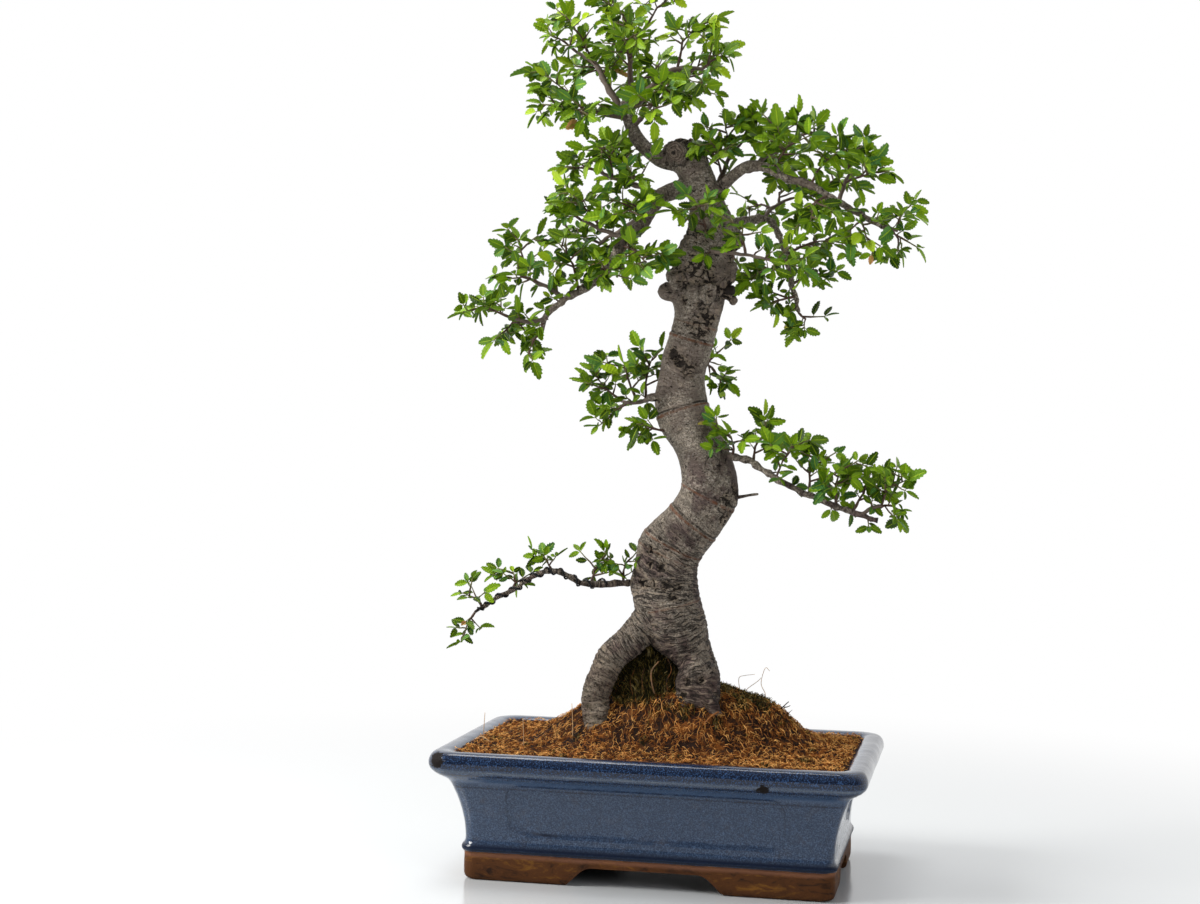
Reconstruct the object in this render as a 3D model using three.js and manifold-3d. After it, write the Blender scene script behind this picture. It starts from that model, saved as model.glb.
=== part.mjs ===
import * as THREE from 'three';
import { mergeVertices } from 'three/addons/utils/BufferGeometryUtils.js';
import Module from 'manifold-3d';

const wasm = await Module();
wasm.setup();

// Driving dimensions in millimetres, with +Z up, +X along the pot and the front of the tree at -Y.
// The tree is laid out from the middle of the pot's footprint on the ground.
const GAP = 0.3;
const UP = new THREE.Vector3(0, 0, 1);
// What the leaves turn to: the light, from the front and above, and away from the trunk
const LIGHT = new THREE.Vector3(0.1, -0.6, 0.8);
const LIGHT_PULL = 0.8;
const OUTWARD_PULL = 0.3;

const POT = {
  halfLength: 155,
  halfWidth: 100,
  cornerRadius: 16,
  cornerShrink: 0.3,
  cornerSteps: 3,
  height: 94,
  floorBottom: 14.5,
  footInset: 35,
  drainRadius: 9,
  drainAt: 70,
};

// Outer wall as [inset from the half sizes, height]: foot, bead, flared wall and rolled rim
const POT_WALL = [
  [23, 0], [20.4, 5], [20.4, 19.5], [18.7, 23.2], [20.8, 28], [20.2, 39], [17.8, 52],
  [11.4, 70.5], [7.6, 73.5], [0.5, 78.5], [-2.5, 84.5], [-1, 91], [2, 94],
];
// Inner wall, from the floor up past the rim
const POT_CAVITY = [[33, 24], [29.5, 32], [26, 52], [15.5, 86], [14.5, 91], [12, 95]];

const PANEL = { halfLength: 100, halfWidth: 54, bottom: 35, top: 71, radius: 10, depth: 1.5 };
const ARCH = { height: 13.5, radius: 5, frontBottom: 57, frontTop: 43, sideBottom: 33, sideTop: 24 };

const SOIL = {
  edgeHeight: 91,
  moundHeight: 44,
  moundAt: [8, 12],
  moundSize: [88, 54],
  moundPower: 3.5,
  clumpAt: [-12, 6],
  clumpDepth: 0.8,
  clumpSides: 8,
  rings: [0.16, 0.36, 0.56, 0.74, 0.89, 1],
  lengthSteps: 4,
  widthSteps: 2,
};

// The mossy clump in the hollow between the legs as [half width, height], from the ground up
const CLUMP = [[34, 104], [28, 130], [19, 148], [10, 160], [3, 165]];

const MESH = { size: 29, thickness: 1.2, openings: 3, bar: 2 };
const CLIP = { radius: 0.75, reach: 15, aside: 7, corner: 1, slope: 0.6, slack: 0.2 };

// Trunk stations from the pruned top down to the foot of the right leg:
// [x, y, z, half width, half depth] of a level section
const TRUNK = [
  [9, 0, 545, 8, 7], [6, 0, 539, 15.5, 13], [13, 0, 524, 14.5, 13], [21, -1, 508, 13.6, 13],
  [26, -1, 496, 14.3, 14], [29, -2, 478, 19, 17], [26, -2, 463, 23, 20], [22, -2, 449, 23, 20],
  [20.5, -1, 429, 21, 19], [19, 0, 411, 17.3, 17], [13, 1, 389, 17.8, 17], [8, 2, 368, 17.2, 17],
  [8, 2, 350, 20, 18], [15, 1, 328, 22.7, 20], [26, 0, 308, 20.5, 20], [31, -2, 287, 21, 20],
  [26, -3, 271, 25, 21], [10, -3, 250, 28.8, 22], [0, -2, 229, 24.4, 22], [-2, -1, 210, 25.3, 23],
  [4, 0, 183, 25.8, 23], [11, 2, 166, 22, 21], [23, 3, 150, 16, 16], [27, 3, 128, 13.5, 15],
  [28, 4, 104, 16, 17], [30, 6, 76, 11, 12],
];
const TRUNK_SIDES = 12;
const TRUNK_LOBE = 0.05;
const THICK_LIMB = 5;

// Roots, limbs and stubs that are one piece with the trunk: points, first and last radius
const LIMBS = {
  root_left: { radii: [13, 8.8], points: [
    [-8, -2, 192], [-26, -10, 169], [-39, -15, 156], [-49, -21, 129], [-47, -23, 104],
    [-43, -26, 80],
  ] },
  root_back: { radii: [11, 6], points: [
    [10, 8, 168], [14, 24, 142], [10, 38, 118], [0, 48, 84],
  ] },
  leader: { radii: [6.4, 4.4], points: [
    [2, -2, 526], [-13, -1, 531], [-27, 0, 543], [-34, 2, 556], [-40, 5, 575],
  ] },
  left: { radii: [6.8, 1.8], points: [
    [14, 0, 510], [-6, -10, 502], [-13, -16, 493], [-21, -22, 477], [-33, -28, 466],
    [-38, -32, 452], [-52, -36, 437], [-63, -40, 427], [-75, -40, 421], [-85, -42, 412],
    [-90, -42, 398],
  ] },
  right: { radii: [5, 1.8], points: [
    [26, 0, 494], [38, -4, 509], [51, -10, 519], [61, -14, 522], [76, -20, 518], [89, -24, 511],
    [101, -28, 507], [118, -32, 497], [131, -34, 489], [142, -36, 482], [158, -38, 474],
  ] },
  drop: { radii: [3.6, 1.5], points: [
    [32, 4, 480], [54, 34, 488], [69, 44, 486], [76, 46, 470], [82, 44, 454], [84, 44, 440],
    [88, 42, 431], [90, 42, 418],
  ] },
  low: { radii: [3, 1.9], points: [
    [26, -2, 312], [47, -8, 308], [59, -14, 306], [71, -18, 301], [80, -22, 294], [97, -26, 286],
    [115, -30, 279], [129, -32, 274], [140, -34, 270], [158, -36, 265],
  ] },
  wired: { radii: [2.6, 1.3], points: [
    [-12, 0, 213], [-30, -3, 213], [-54, -12, 211], [-69, -18, 215], [-84, -22, 221],
    [-100, -26, 215], [-112, -30, 206], [-128, -34, 197], [-139, -36, 189],
  ] },
  dry_twig: { radii: [1.7, 0.8], points: [[38, -2, 276], [53, -2, 278], [68, -6, 281]] },
  stub_low: { radii: [4.2, 3], points: [[2, -6, 352], [-8, -12, 352], [-15, -15, 351]] },
  stub_burl: { radii: [5, 3.4], points: [[34, -4, 430], [42, -5, 431], [47, -6, 431]] },
};

// Burls and callused scars on the trunk: centre, then half sizes
const KNOBS = [
  [[-2, -6, 430], [9, 8, 7]], [[22, -18, 428], [10, 6, 9]], [[46, -2, 469], [8, 9, 9]],
  [[4, -8, 535], [10, 8, 8]], [[12, 16, 446], [10, 7, 9]],
];

// Branchlets, each a node of its own: where it starts, how it runs, then its shoots as
// [place along the branchlet, tip of the shoot]
const BRANCHLETS = {
  apex_left: { radii: [2.9, 1.3], points: [
    [-36, 3, 561], [-53, -12, 563], [-64, -20, 562], [-75, -28, 557],
  ], shoots: [[1, [-96, -26, 568]], [0.67, [-90, -42, 586]], [0.4, [-66, -46, 560]]] },
  apex_middle: { radii: [2.8, 1.3], points: [
    [-36, 3, 559], [-54, 8, 587], [-65, 12, 605], [-79, 14, 614],
  ], shoots: [[1, [-100, 10, 627]], [0.7, [-82, -14, 636]], [0.4, [-78, 44, 608]]] },
  apex_top: { radii: [2.8, 1.2], points: [
    [-39, 5, 571], [-36, 10, 586], [-38, 14, 604], [-35, 14, 619], [-26, 10, 631],
  ], shoots: [
    [1, [-2, 0, 652]], [0.75, [-60, -2, 652]], [0.5, [-46, 42, 640]], [0.3, [-34, -28, 616]],
  ] },
  apex_right: { radii: [3.6, 1.4], points: [
    [-37, 3, 566], [-19, -6, 581], [-8, -8, 590], [5, -10, 596], [22, -12, 594],
  ], shoots: [[1, [36, -10, 604]], [0.7, [16, 8, 632]], [0.45, [4, -38, 570]]] },
  apex_back: { radii: [2.4, 1.2], points: [
    [-38, 4, 565], [-30, 24, 578], [-16, 38, 588], [-4, 48, 592],
  ], shoots: [[1, [14, 60, 616]], [0.55, [-28, 70, 610]]] },
  apex_low: { radii: [2, 1.1], points: [
    [-32, 2, 553], [-22, -8, 563], [-13, -12, 570], [8, -16, 573],
  ], shoots: [[1, [27, -28, 578]], [0.55, [-10, -42, 558]]] },
  left_far: { radii: [1.9, 1.1], points: [
    [-86, -42, 409], [-100, -42, 405], [-113, -44, 408],
  ], shoots: [[1, [-141, -46, 415]], [0.6, [-124, -30, 394]]] },
  left_mid: { radii: [1.9, 1.1], points: [
    [-73, -40, 421], [-90, -38, 433], [-107, -38, 439],
  ], shoots: [[1, [-110, -34, 467]], [0.6, [-112, -56, 436]]] },
  left_fan: { radii: [2.2, 1.2], points: [
    [-32, -27, 467], [-50, -20, 475], [-66, -20, 482],
  ], shoots: [[1, [-89, -14, 492]], [0.5, [-66, -48, 497]]] },
  left_crown: { radii: [2.6, 1.2], points: [
    [-8, -11, 501], [-28, -4, 510], [-48, 2, 517], [-62, 4, 523],
  ], shoots: [
    [1, [-82, 0, 524]], [0.66, [-54, -26, 536]], [0.5, [-52, 36, 539]], [0.25, [-28, -36, 512]],
  ] },
  left_back: { radii: [2.4, 1.2], points: [
    [-20, -20, 480], [-30, 10, 486], [-48, 34, 480], [-66, 46, 472],
  ], shoots: [[1, [-94, 54, 482]], [0.6, [-62, 66, 454]]] },
  right_tip: { radii: [1.8, 1.1], points: [
    [156, -38, 475], [163, -38, 472], [168, -39, 471],
  ], shoots: [[1, [177, -44, 488]], [0.6, [168, -30, 456]]] },
  right_rise: { radii: [1.8, 1.1], points: [
    [126, -33, 492], [129, -30, 505], [132, -26, 512],
  ], shoots: [[1, [134, -16, 532]], [0.6, [153, -46, 512]]] },
  right_fan: { radii: [2.2, 1.2], points: [
    [60, -13, 522], [72, 0, 532], [85, 4, 538],
  ], shoots: [[1, [106, 0, 548]], [0.5, [78, -18, 550]]] },
  right_crown: { radii: [2.6, 1.2], points: [
    [26, 1, 500], [33, 12, 516], [38, 12, 530], [47, 10, 540],
  ], shoots: [[1, [60, 4, 560]], [0.75, [40, -14, 552]], [0.4, [36, -22, 532]]] },
  right_back: { radii: [2.2, 1.2], points: [
    [51, -10, 519], [66, 18, 523], [84, 34, 517], [104, 44, 509],
  ], shoots: [[1, [122, 56, 518]], [0.6, [72, 44, 538]]] },
  drop_high: { radii: [1.8, 1.1], points: [
    [62, 40, 488], [68, 48, 498], [76, 52, 504],
  ], shoots: [[1, [104, 54, 504]], [0.8, [78, 62, 516]], [0.5, [46, 60, 500]]] },
  front_twig: { radii: [1.7, 0.9], points: [
    [28, -10, 459], [37, -34, 457], [61, -44, 453], [76, -50, 450],
  ], shoots: [[1, [103, -60, 443]], [0.66, [60, -62, 472]]] },
  back_left: { radii: [2.3, 1.2], points: [
    [0, 6, 352], [-19, 18, 351], [-30, 26, 348], [-44, 32, 349],
  ], shoots: [
    [1, [-65, 42, 366]], [0.85, [-56, 40, 336]], [0.7, [-45, 42, 377]], [0.45, [-22, 44, 384]],
  ] },
  back_right: { radii: [1.8, 1], points: [
    [10, 10, 376], [21, 25, 378], [26, 31, 375],
  ], shoots: [[1, [34, 36, 362]], [0.7, [26, 44, 386]]] },
  low_tip: { radii: [1.8, 1], points: [
    [146, -35, 269], [154, -38, 274], [160, -39, 276],
  ], shoots: [[1, [177, -42, 294]], [0.7, [174, -32, 272]]] },
};

const BRANCHLET_SIDES = 4;

// Shoots that rise straight from a limb, each a node of its own: [limb, place along it, tip]
const SHOOTS = {
  left_tip: ['left', 1, [-99, -46, 382]],
  left_rise: ['left', 0.7, [-80, -34, 464]],
  left_front: ['left', 0.56, [-36, -64, 438]],
  left_inner: ['left', 0.22, [-28, -56, 482]],
  left_low: ['left', 0.42, [-8, -56, 446]],
  right_hang: ['right', 0.9, [148, -58, 462]],
  right_mid: ['right', 0.62, [124, -42, 526]],
  right_front: ['right', 0.4, [92, -50, 534]],
  right_under: ['right', 0.7, [108, -56, 476]],
  drop_tip: ['drop', 1, [94, 50, 406]],
  drop_low: ['drop', 0.86, [67, 34, 424]],
  drop_right: ['drop', 0.72, [112, 48, 448]],
  drop_out: ['drop', 0.5, [120, 34, 472]],
  drop_left: ['drop', 0.62, [50, 38, 442]],
  low_near: ['low', 0.13, [48, -24, 325]],
  low_second: ['low', 0.28, [71, -6, 325]],
  low_third: ['low', 0.46, [95, -34, 318]],
  low_fourth: ['low', 0.62, [113, -16, 309]],
  low_fifth: ['low', 0.76, [132, -44, 303]],
  low_sixth: ['low', 0.88, [151, -24, 298]],
  wired_tip: ['wired', 1, [-147, -36, 172]],
  wired_curl: ['wired', 0.94, [-142, -46, 201]],
  wired_mid: ['wired', 0.74, [-114, -22, 219]],
  wired_top: ['wired', 0.5, [-92, -18, 233]],
  wired_rise: ['wired', 0.26, [-50, -4, 229]],
  wired_near: ['wired', 0.14, [-30, -14, 228]],
};
// Shoots that rise from the trunk itself: [start inside the bark, tip]
const TRUNK_SHOOTS = {
  front_tuft: [[28, -10, 468], [26, -50, 490]],
  sprig_scar: [[0, -8, 326], [-20, -20, 322]],
};

const SHOOT = {
  radii: [1.1, 0.42], sides: 3, steps: 2, bow: 0.1, kink: 6, twigSpacing: 8, twigsAt: [0.3, 0.9],
  leavesFrom: 0.45,
};
const TWIG = {
  radii: [0.8, 0.42], sides: 3, length: 19, taper: [1.1, 0.7], vary: [0.7, 1.3], spread: [45, 75],
  roll: [-35, 55], leavesFrom: 0.2,
};
const LEAF = {
  spacing: 4.6, length: 15, vary: [0.65, 1.2], width: 0.52, thickness: 1.3, neck: 0.3, fanNeck: 0.6,
  crotch: 0.11, arch: 0.1, fold: 0.12, angle: [48, 72], tipAngles: [-66, 0, 66], tipVary: 8,
};
// Half of the leaf's toothed edge as [place along the leaf, share of the half width]
const LEAF_EDGE = [[0.3, 0.7], [0.54, 1], [0.64, 0.8]];
const LEAF_RIDGE = 0.45;
// One shoot in this many carries a side twig
const TWIGGY_SHARE = 12;

const WIRE = { radius: 0.75, pitch: 11, steps: 6, slack: 1, from: 0.2, to: 0.97 };

// Repeatable draws between 0 and 1
function seededRandom(seed) {
  let state = seed >>> 0;
  return () => {
    state = (state + 0x6d2b79f5) >>> 0;
    let mixed = Math.imul(state ^ (state >>> 15), state | 1);
    mixed ^= mixed + Math.imul(mixed ^ (mixed >>> 7), mixed | 61);
    return ((mixed ^ (mixed >>> 14)) >>> 0) / 4294967296;
  };
}

const vector = (point) => new THREE.Vector3(...point);
const mix = (from, to, share) => from + (to - from) * share;
const radians = THREE.MathUtils.degToRad;

// A geometry as a body for joins and cuts
function toSolid(geometry) {
  const bare = geometry.clone();
  bare.deleteAttribute('normal');
  bare.deleteAttribute('uv');
  const merged = mergeVertices(bare);
  return new wasm.Manifold(new wasm.Mesh({
    numProp: 3,
    vertProperties: Float32Array.from(merged.attributes.position.array),
    triVerts: Uint32Array.from(merged.index.array),
  }));
}

function toGeometry(solid) {
  const { vertProperties, triVerts } = solid.getMesh();
  const geometry = new THREE.BufferGeometry();
  geometry.setAttribute('position', new THREE.BufferAttribute(vertProperties, 3));
  geometry.setIndex(new THREE.BufferAttribute(triVerts, 1));
  return geometry;
}

const joined = (solids) => solids.reduce((whole, solid) => whole.add(solid));

// The largest body of a solid, without the scraps that a cut leaves
function mainBody(solid) {
  const bodies = solid.decompose();
  return bodies.reduce((best, body) => (body.volume() > best.volume() ? body : best));
}

function meshGeometry(points, triangles) {
  const geometry = new THREE.BufferGeometry();
  geometry.setAttribute('position', new THREE.Float32BufferAttribute(
    points.flatMap((point) => point.toArray()), 3));
  geometry.setIndex(triangles.flat());
  return geometry;
}

// A closed body through rings of equal point count, with a flat end on the first and the last
function loft(rings) {
  const count = rings[0].length;
  const end = (rings.length - 1) * count;
  const triangles = [];
  for (let ring = 0; ring < end; ring += count) {
    for (let step = 0; step < count; step += 1) {
      const [a, b] = [ring + step, ring + ((step + 1) % count)];
      triangles.push([a, b, b + count], [a, b + count, a + count]);
    }
  }
  for (let step = 1; step + 1 < count; step += 1) {
    triangles.push([0, step + 1, step], [end, end + step, end + step + 1]);
  }
  return toSolid(meshGeometry(rings.flat(), triangles));
}

// A tube through a list of points, its section turned as little as possible from one to the next
function sweep(points, radii, sides) {
  const rings = [];
  let tangent = points[1].clone().sub(points[0]).normalize();
  const start = Math.abs(tangent.z) < 0.9 ? UP : new THREE.Vector3(1, 0, 0);
  const normal = start.clone().addScaledVector(tangent, -start.dot(tangent)).normalize();
  points.forEach((point, index) => {
    const before = points[Math.max(index - 1, 0)];
    const after = points[Math.min(index + 1, points.length - 1)];
    const heading = after.clone().sub(before).normalize();
    normal.applyQuaternion(new THREE.Quaternion().setFromUnitVectors(tangent, heading));
    tangent = heading;
    const binormal = new THREE.Vector3().crossVectors(tangent, normal);
    const radius = radii[index];
    rings.push(Array.from({ length: sides }, (_, step) => {
      const angle = (2 * Math.PI * step) / sides;
      return point.clone().addScaledVector(normal, radius * Math.cos(angle))
        .addScaledVector(binormal, radius * Math.sin(angle));
    }));
  });
  return loft(rings);
}

const curveOf = (points) => new THREE.CatmullRomCurve3(points.map(vector), false, 'catmullrom', 0.5);

// Limb stations: one at each given point, with the radius falling evenly
function limbStations({ points, radii }, extra = 0) {
  const places = points.map(vector);
  return {
    places,
    radii: places.map((_, index) => mix(radii[0], radii[1], index / (places.length - 1)) + extra),
  };
}

// Pot

function roundedRing(inset, z, sideSteps = [1, 1]) {
  const halfX = POT.halfLength - inset;
  const halfY = POT.halfWidth - inset;
  const radius = POT.cornerRadius - POT.cornerShrink * inset;
  const ring = [];
  for (let corner = 0; corner < 4; corner += 1) {
    const signX = corner === 0 || corner === 3 ? 1 : -1;
    const signY = corner < 2 ? 1 : -1;
    const centre = [signX * (halfX - radius), signY * (halfY - radius)];
    for (let step = 0; step <= POT.cornerSteps; step += 1) {
      const angle = (Math.PI / 2) * (corner + step / POT.cornerSteps);
      ring.push(new THREE.Vector3(
        centre[0] + radius * Math.cos(angle), centre[1] + radius * Math.sin(angle), z));
    }
    const pieces = sideSteps[corner % 2];
    const from = ring[ring.length - 1];
    const to = corner % 2 === 0
      ? new THREE.Vector3(-signX * (halfX - radius), signY * halfY, z)
      : new THREE.Vector3(signX * halfX, -signY * (halfY - radius), z);
    for (let step = 1; step < pieces; step += 1) {
      ring.push(from.clone().lerp(to, step / pieces));
    }
  }
  return ring;
}

// A block whose outline lies in the X-Z plane, or in Y-Z when turned, long enough to pass through
function archBlock(shape, turned) {
  const reach = 2 * POT.halfLength + 20;
  const block = new THREE.ExtrudeGeometry(shape, {
    depth: reach, bevelEnabled: false, curveSegments: 2,
  });
  block.translate(0, 0, -reach / 2);
  block.rotateX(Math.PI / 2);
  if (turned) {
    block.rotateZ(Math.PI / 2);
  }
  return toSolid(block);
}

function archShape(bottom, top) {
  const { height, radius } = ARCH;
  const shape = new THREE.Shape();
  shape.moveTo(-bottom - 1, -1);
  shape.lineTo(bottom + 1, -1);
  shape.lineTo(mix(bottom, top, 1 - radius / height), height - radius);
  shape.quadraticCurveTo(top, height, top - radius, height);
  shape.lineTo(radius - top, height);
  shape.quadraticCurveTo(-top, height, -mix(bottom, top, 1 - radius / height), height - radius);
  return shape;
}

function panelShape(half) {
  const { bottom, top, radius } = PANEL;
  const shape = new THREE.Shape();
  shape.absarc(half - radius, bottom + radius, radius, -Math.PI / 2, 0);
  shape.absarc(half - radius, top - radius, radius, 0, Math.PI / 2);
  shape.absarc(radius - half, top - radius, radius, Math.PI / 2, Math.PI);
  shape.absarc(radius - half, bottom + radius, radius, Math.PI, 1.5 * Math.PI);
  return shape;
}

function makePot() {
  const outer = loft(POT_WALL.map(([inset, z]) => roundedRing(inset, z)));
  const sunk = loft(POT_WALL.map(([inset, z]) => roundedRing(inset + PANEL.depth, z)));
  const panels = archBlock(panelShape(PANEL.halfLength), false)
    .add(archBlock(panelShape(PANEL.halfWidth), true))
    .subtract(sunk);
  const cavity = loft(POT_CAVITY.map(([inset, z]) => roundedRing(inset, z)));
  const recess = loft([[POT.footInset, -1], [POT.footInset, POT.floorBottom]]
    .map(([inset, z]) => roundedRing(inset, z)));
  const drains = [-1, 1].map((side) => {
    const hole = new THREE.CylinderGeometry(POT.drainRadius, POT.drainRadius, POT.height, 14);
    hole.rotateX(Math.PI / 2);
    hole.translate(side * POT.drainAt, 0, 0);
    return toSolid(hole);
  });
  return outer.subtract(joined([
    panels, cavity, recess, ...drains,
    archBlock(archShape(ARCH.frontBottom, ARCH.frontTop), false),
    archBlock(archShape(ARCH.sideBottom, ARCH.sideTop), true),
  ]));
}

// Mesh squares over the drainage holes, and the wire clips that hold them

const meshBottom = POT_CAVITY[0][1] + GAP;
const clipTop = meshBottom + MESH.thickness + GAP + CLIP.radius;

function blockAt(sizes, centre) {
  const block = new THREE.BoxGeometry(...sizes);
  block.translate(...centre);
  return toSolid(block);
}

function makeDrainMesh(side) {
  const pitch = (MESH.size - MESH.bar) / MESH.openings;
  const centre = [side * POT.drainAt, 0, meshBottom + MESH.thickness / 2];
  const places = Array.from({ length: MESH.openings }, (_, step) => (
    (step - (MESH.openings - 1) / 2) * pitch));
  const openings = places.flatMap((x) => places.map((y) => blockAt(
    [pitch - MESH.bar, pitch - MESH.bar, 2 * MESH.thickness], [centre[0] + x, y, centre[2]])));
  return blockAt([MESH.size, MESH.size, MESH.thickness], centre).subtract(joined(openings));
}

function makeMeshClip(side) {
  const { radius, reach, aside, corner, slope, slack } = CLIP;
  const below = POT.floorBottom - GAP - radius - slack;
  const half = [
    [reach, below - slope], [aside + corner, below], [aside, below + corner],
    [aside, clipTop - corner], [aside - corner, clipTop],
  ];
  const points = [...half.map(([x, z]) => [-x, z]), ...half.reverse()]
    .map(([x, z]) => new THREE.Vector3(x + side * POT.drainAt, 0, z));
  return sweep(points, points.map(() => radius), 5);
}

// Soil

function soilHeight(x, y) {
  const across = (x - SOIL.moundAt[0]) / SOIL.moundSize[0];
  const back = (y - SOIL.moundAt[1]) / SOIL.moundSize[1];
  const mound = Math.exp(-(Math.hypot(across, back) ** SOIL.moundPower));
  return SOIL.edgeHeight + SOIL.moundHeight * mound;
}

function makeClump() {
  const [x, y] = SOIL.clumpAt;
  return loft(CLUMP.map(([half, z]) => Array.from({ length: SOIL.clumpSides }, (_, step) => {
    const angle = (2 * Math.PI * step) / SOIL.clumpSides;
    return new THREE.Vector3(
      x + half * Math.cos(angle), y + SOIL.clumpDepth * half * Math.sin(angle), z);
  })));
}

function makeSoil(wood) {
  const sideSteps = [SOIL.lengthSteps, SOIL.widthSteps];
  const walls = POT_CAVITY.filter(([, z]) => z <= SOIL.edgeHeight)
    .map(([inset, z], index) => roundedRing(inset + GAP, index === 0 ? z + GAP : z, sideSteps));
  const edge = walls[walls.length - 1];
  const [middleX, middleY] = SOIL.moundAt;
  const tops = SOIL.rings.slice(0, -1).reverse().map((share) => edge.map(({ x, y }) => {
    const [placeX, placeY] = [mix(middleX, x, share), mix(middleY, y, share)];
    return new THREE.Vector3(placeX, placeY, soilHeight(placeX, placeY));
  }));
  const pockets = [-1, 1].map((side) => {
    const size = MESH.size + 2 * GAP;
    const top = clipTop + CLIP.radius + GAP;
    const floor = POT_CAVITY[0][1];
    return blockAt([size, size, 2 * (top - floor)], [side * POT.drainAt, 0, floor]);
  });
  const whole = joined([loft([...walls, ...tops]), makeClump()]);
  return mainBody(whole.subtract(joined([wood, ...pockets])));
}

// Trunk, roots and limbs, grown as one piece

function trunkSection([x, y, z, halfWidth, halfDepth], index, extra) {
  return Array.from({ length: TRUNK_SIDES }, (_, step) => {
    const angle = (2 * Math.PI * step) / TRUNK_SIDES;
    const lobe = 1 + TRUNK_LOBE * Math.sin(3 * angle + 0.9 * index) * Math.sin(angle) ** 2;
    return new THREE.Vector3(
      x + (halfWidth + extra) * lobe * Math.cos(angle),
      y + (halfDepth + extra) * lobe * Math.sin(angle), z);
  });
}

function makeWood(extra) {
  const sections = TRUNK.map((station, index) => trunkSection(station, index, extra)).reverse();
  sections[0].forEach((point) => point.setZ(point.z - extra));
  sections[sections.length - 1].forEach((point) => point.setZ(point.z + extra));
  const limbs = Object.values(LIMBS).map((limb) => {
    const { places, radii } = limbStations(limb, extra);
    const last = places.length - 1;
    const onward = places[last].clone().sub(places[last - 1]).normalize();
    places[last].addScaledVector(onward, extra);
    return sweep(places, radii, limb.radii[0] > THICK_LIMB ? 7 : 4);
  });
  const knobs = KNOBS.map(([centre, half]) => {
    const knob = new THREE.SphereGeometry(1, 6, 4);
    knob.rotateX(Math.PI / 2);
    knob.scale(...half.map((size) => size + extra));
    knob.translate(...centre);
    return toSolid(knob);
  });
  return joined([loft(sections), ...limbs, ...knobs]);
}

// Training wire wound round the low left limb

function makeWire(extra) {
  const limb = LIMBS.wired;
  const curve = curveOf(limb.points);
  const length = curve.getLength() * (WIRE.to - WIRE.from);
  const count = Math.round((length / WIRE.pitch) * WIRE.steps);
  const points = Array.from({ length: count + 1 }, (_, step) => {
    const share = mix(WIRE.from, WIRE.to, step / count);
    const heading = curve.getTangent(share);
    const level = new THREE.Vector3().crossVectors(UP, heading).normalize();
    const above = new THREE.Vector3().crossVectors(heading, level);
    const angle = (2 * Math.PI * step) / WIRE.steps;
    const away = mix(limb.radii[0], limb.radii[1], share) + WIRE.radius + WIRE.slack;
    const reach = away / Math.cos(Math.PI / WIRE.steps);
    return curve.getPoint(share).addScaledVector(level, reach * Math.cos(angle))
      .addScaledVector(above, reach * Math.sin(angle));
  });
  return sweep(points, points.map(() => WIRE.radius + extra), 4);
}

// Leafy shoots

// Point and heading at a share of the way along a list of points
function along(points, share) {
  const place = Math.min(share, 0.9999) * (points.length - 1);
  const from = Math.floor(place);
  const heading = points[from + 1].clone().sub(points[from]);
  return {
    point: points[from].clone().addScaledVector(heading, place - from),
    heading: heading.clone().normalize(),
  };
}

// A draw of where a leaf's upper face turns, mostly to the light and away from the trunk
function leafFace({ x, y }, random) {
  const outward = new THREE.Vector3(x - TRUNK[4][0], y, 0).normalize();
  return new THREE.Vector3(random() - 0.5, random() - 0.5, random() - 0.5)
    .addScaledVector(LIGHT, LIGHT_PULL).addScaledVector(outward, OUTWARD_PULL).normalize();
}

// One or more blades that share a point, a face and a neck, from right to left
function leafCluster(point, heading, angles, random) {
  const face = leafFace(point, random);
  const sideways = new THREE.Vector3().crossVectors(face, heading).normalize();
  const level = new THREE.Vector3().crossVectors(heading, sideways);
  const leaves = angles.map((angle) => ({
    direction: heading.clone().multiplyScalar(Math.cos(angle))
      .addScaledVector(sideways, Math.sin(angle)),
    size: LEAF.length * mix(...LEAF.vary, random()),
  }));
  const neck = leaves.length > 1 ? LEAF.fanNeck : LEAF.neck;
  return { point, heading, sideways, level, leaves, neck };
}

// Leaves along a stem, two-ranked, ending in a fan of three
function leavesAlong(points, firstAt, random) {
  const length = points[0].distanceTo(points[points.length - 1]) * (1 - firstAt);
  const count = Math.max(1, Math.round(length / LEAF.spacing) - 2);
  const sides = Array.from({ length: count }, (_, step) => {
    const { point, heading } = along(points, mix(firstAt, 1, (step + 0.5) / (count + 0.5)));
    const hand = step % 2 === 0 ? 1 : -1;
    const angle = hand * radians(mix(...LEAF.angle, random()));
    return leafCluster(point, heading, [angle], random);
  });
  const end = along(points, 1);
  end.point.addScaledVector(end.heading, -LEAF.fanNeck);
  const fan = LEAF.tipAngles.map((angle) => radians(angle + LEAF.tipVary * (random() - 0.5)));
  return { sides, tip: leafCluster(end.point, end.heading, fan, random) };
}

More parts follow.
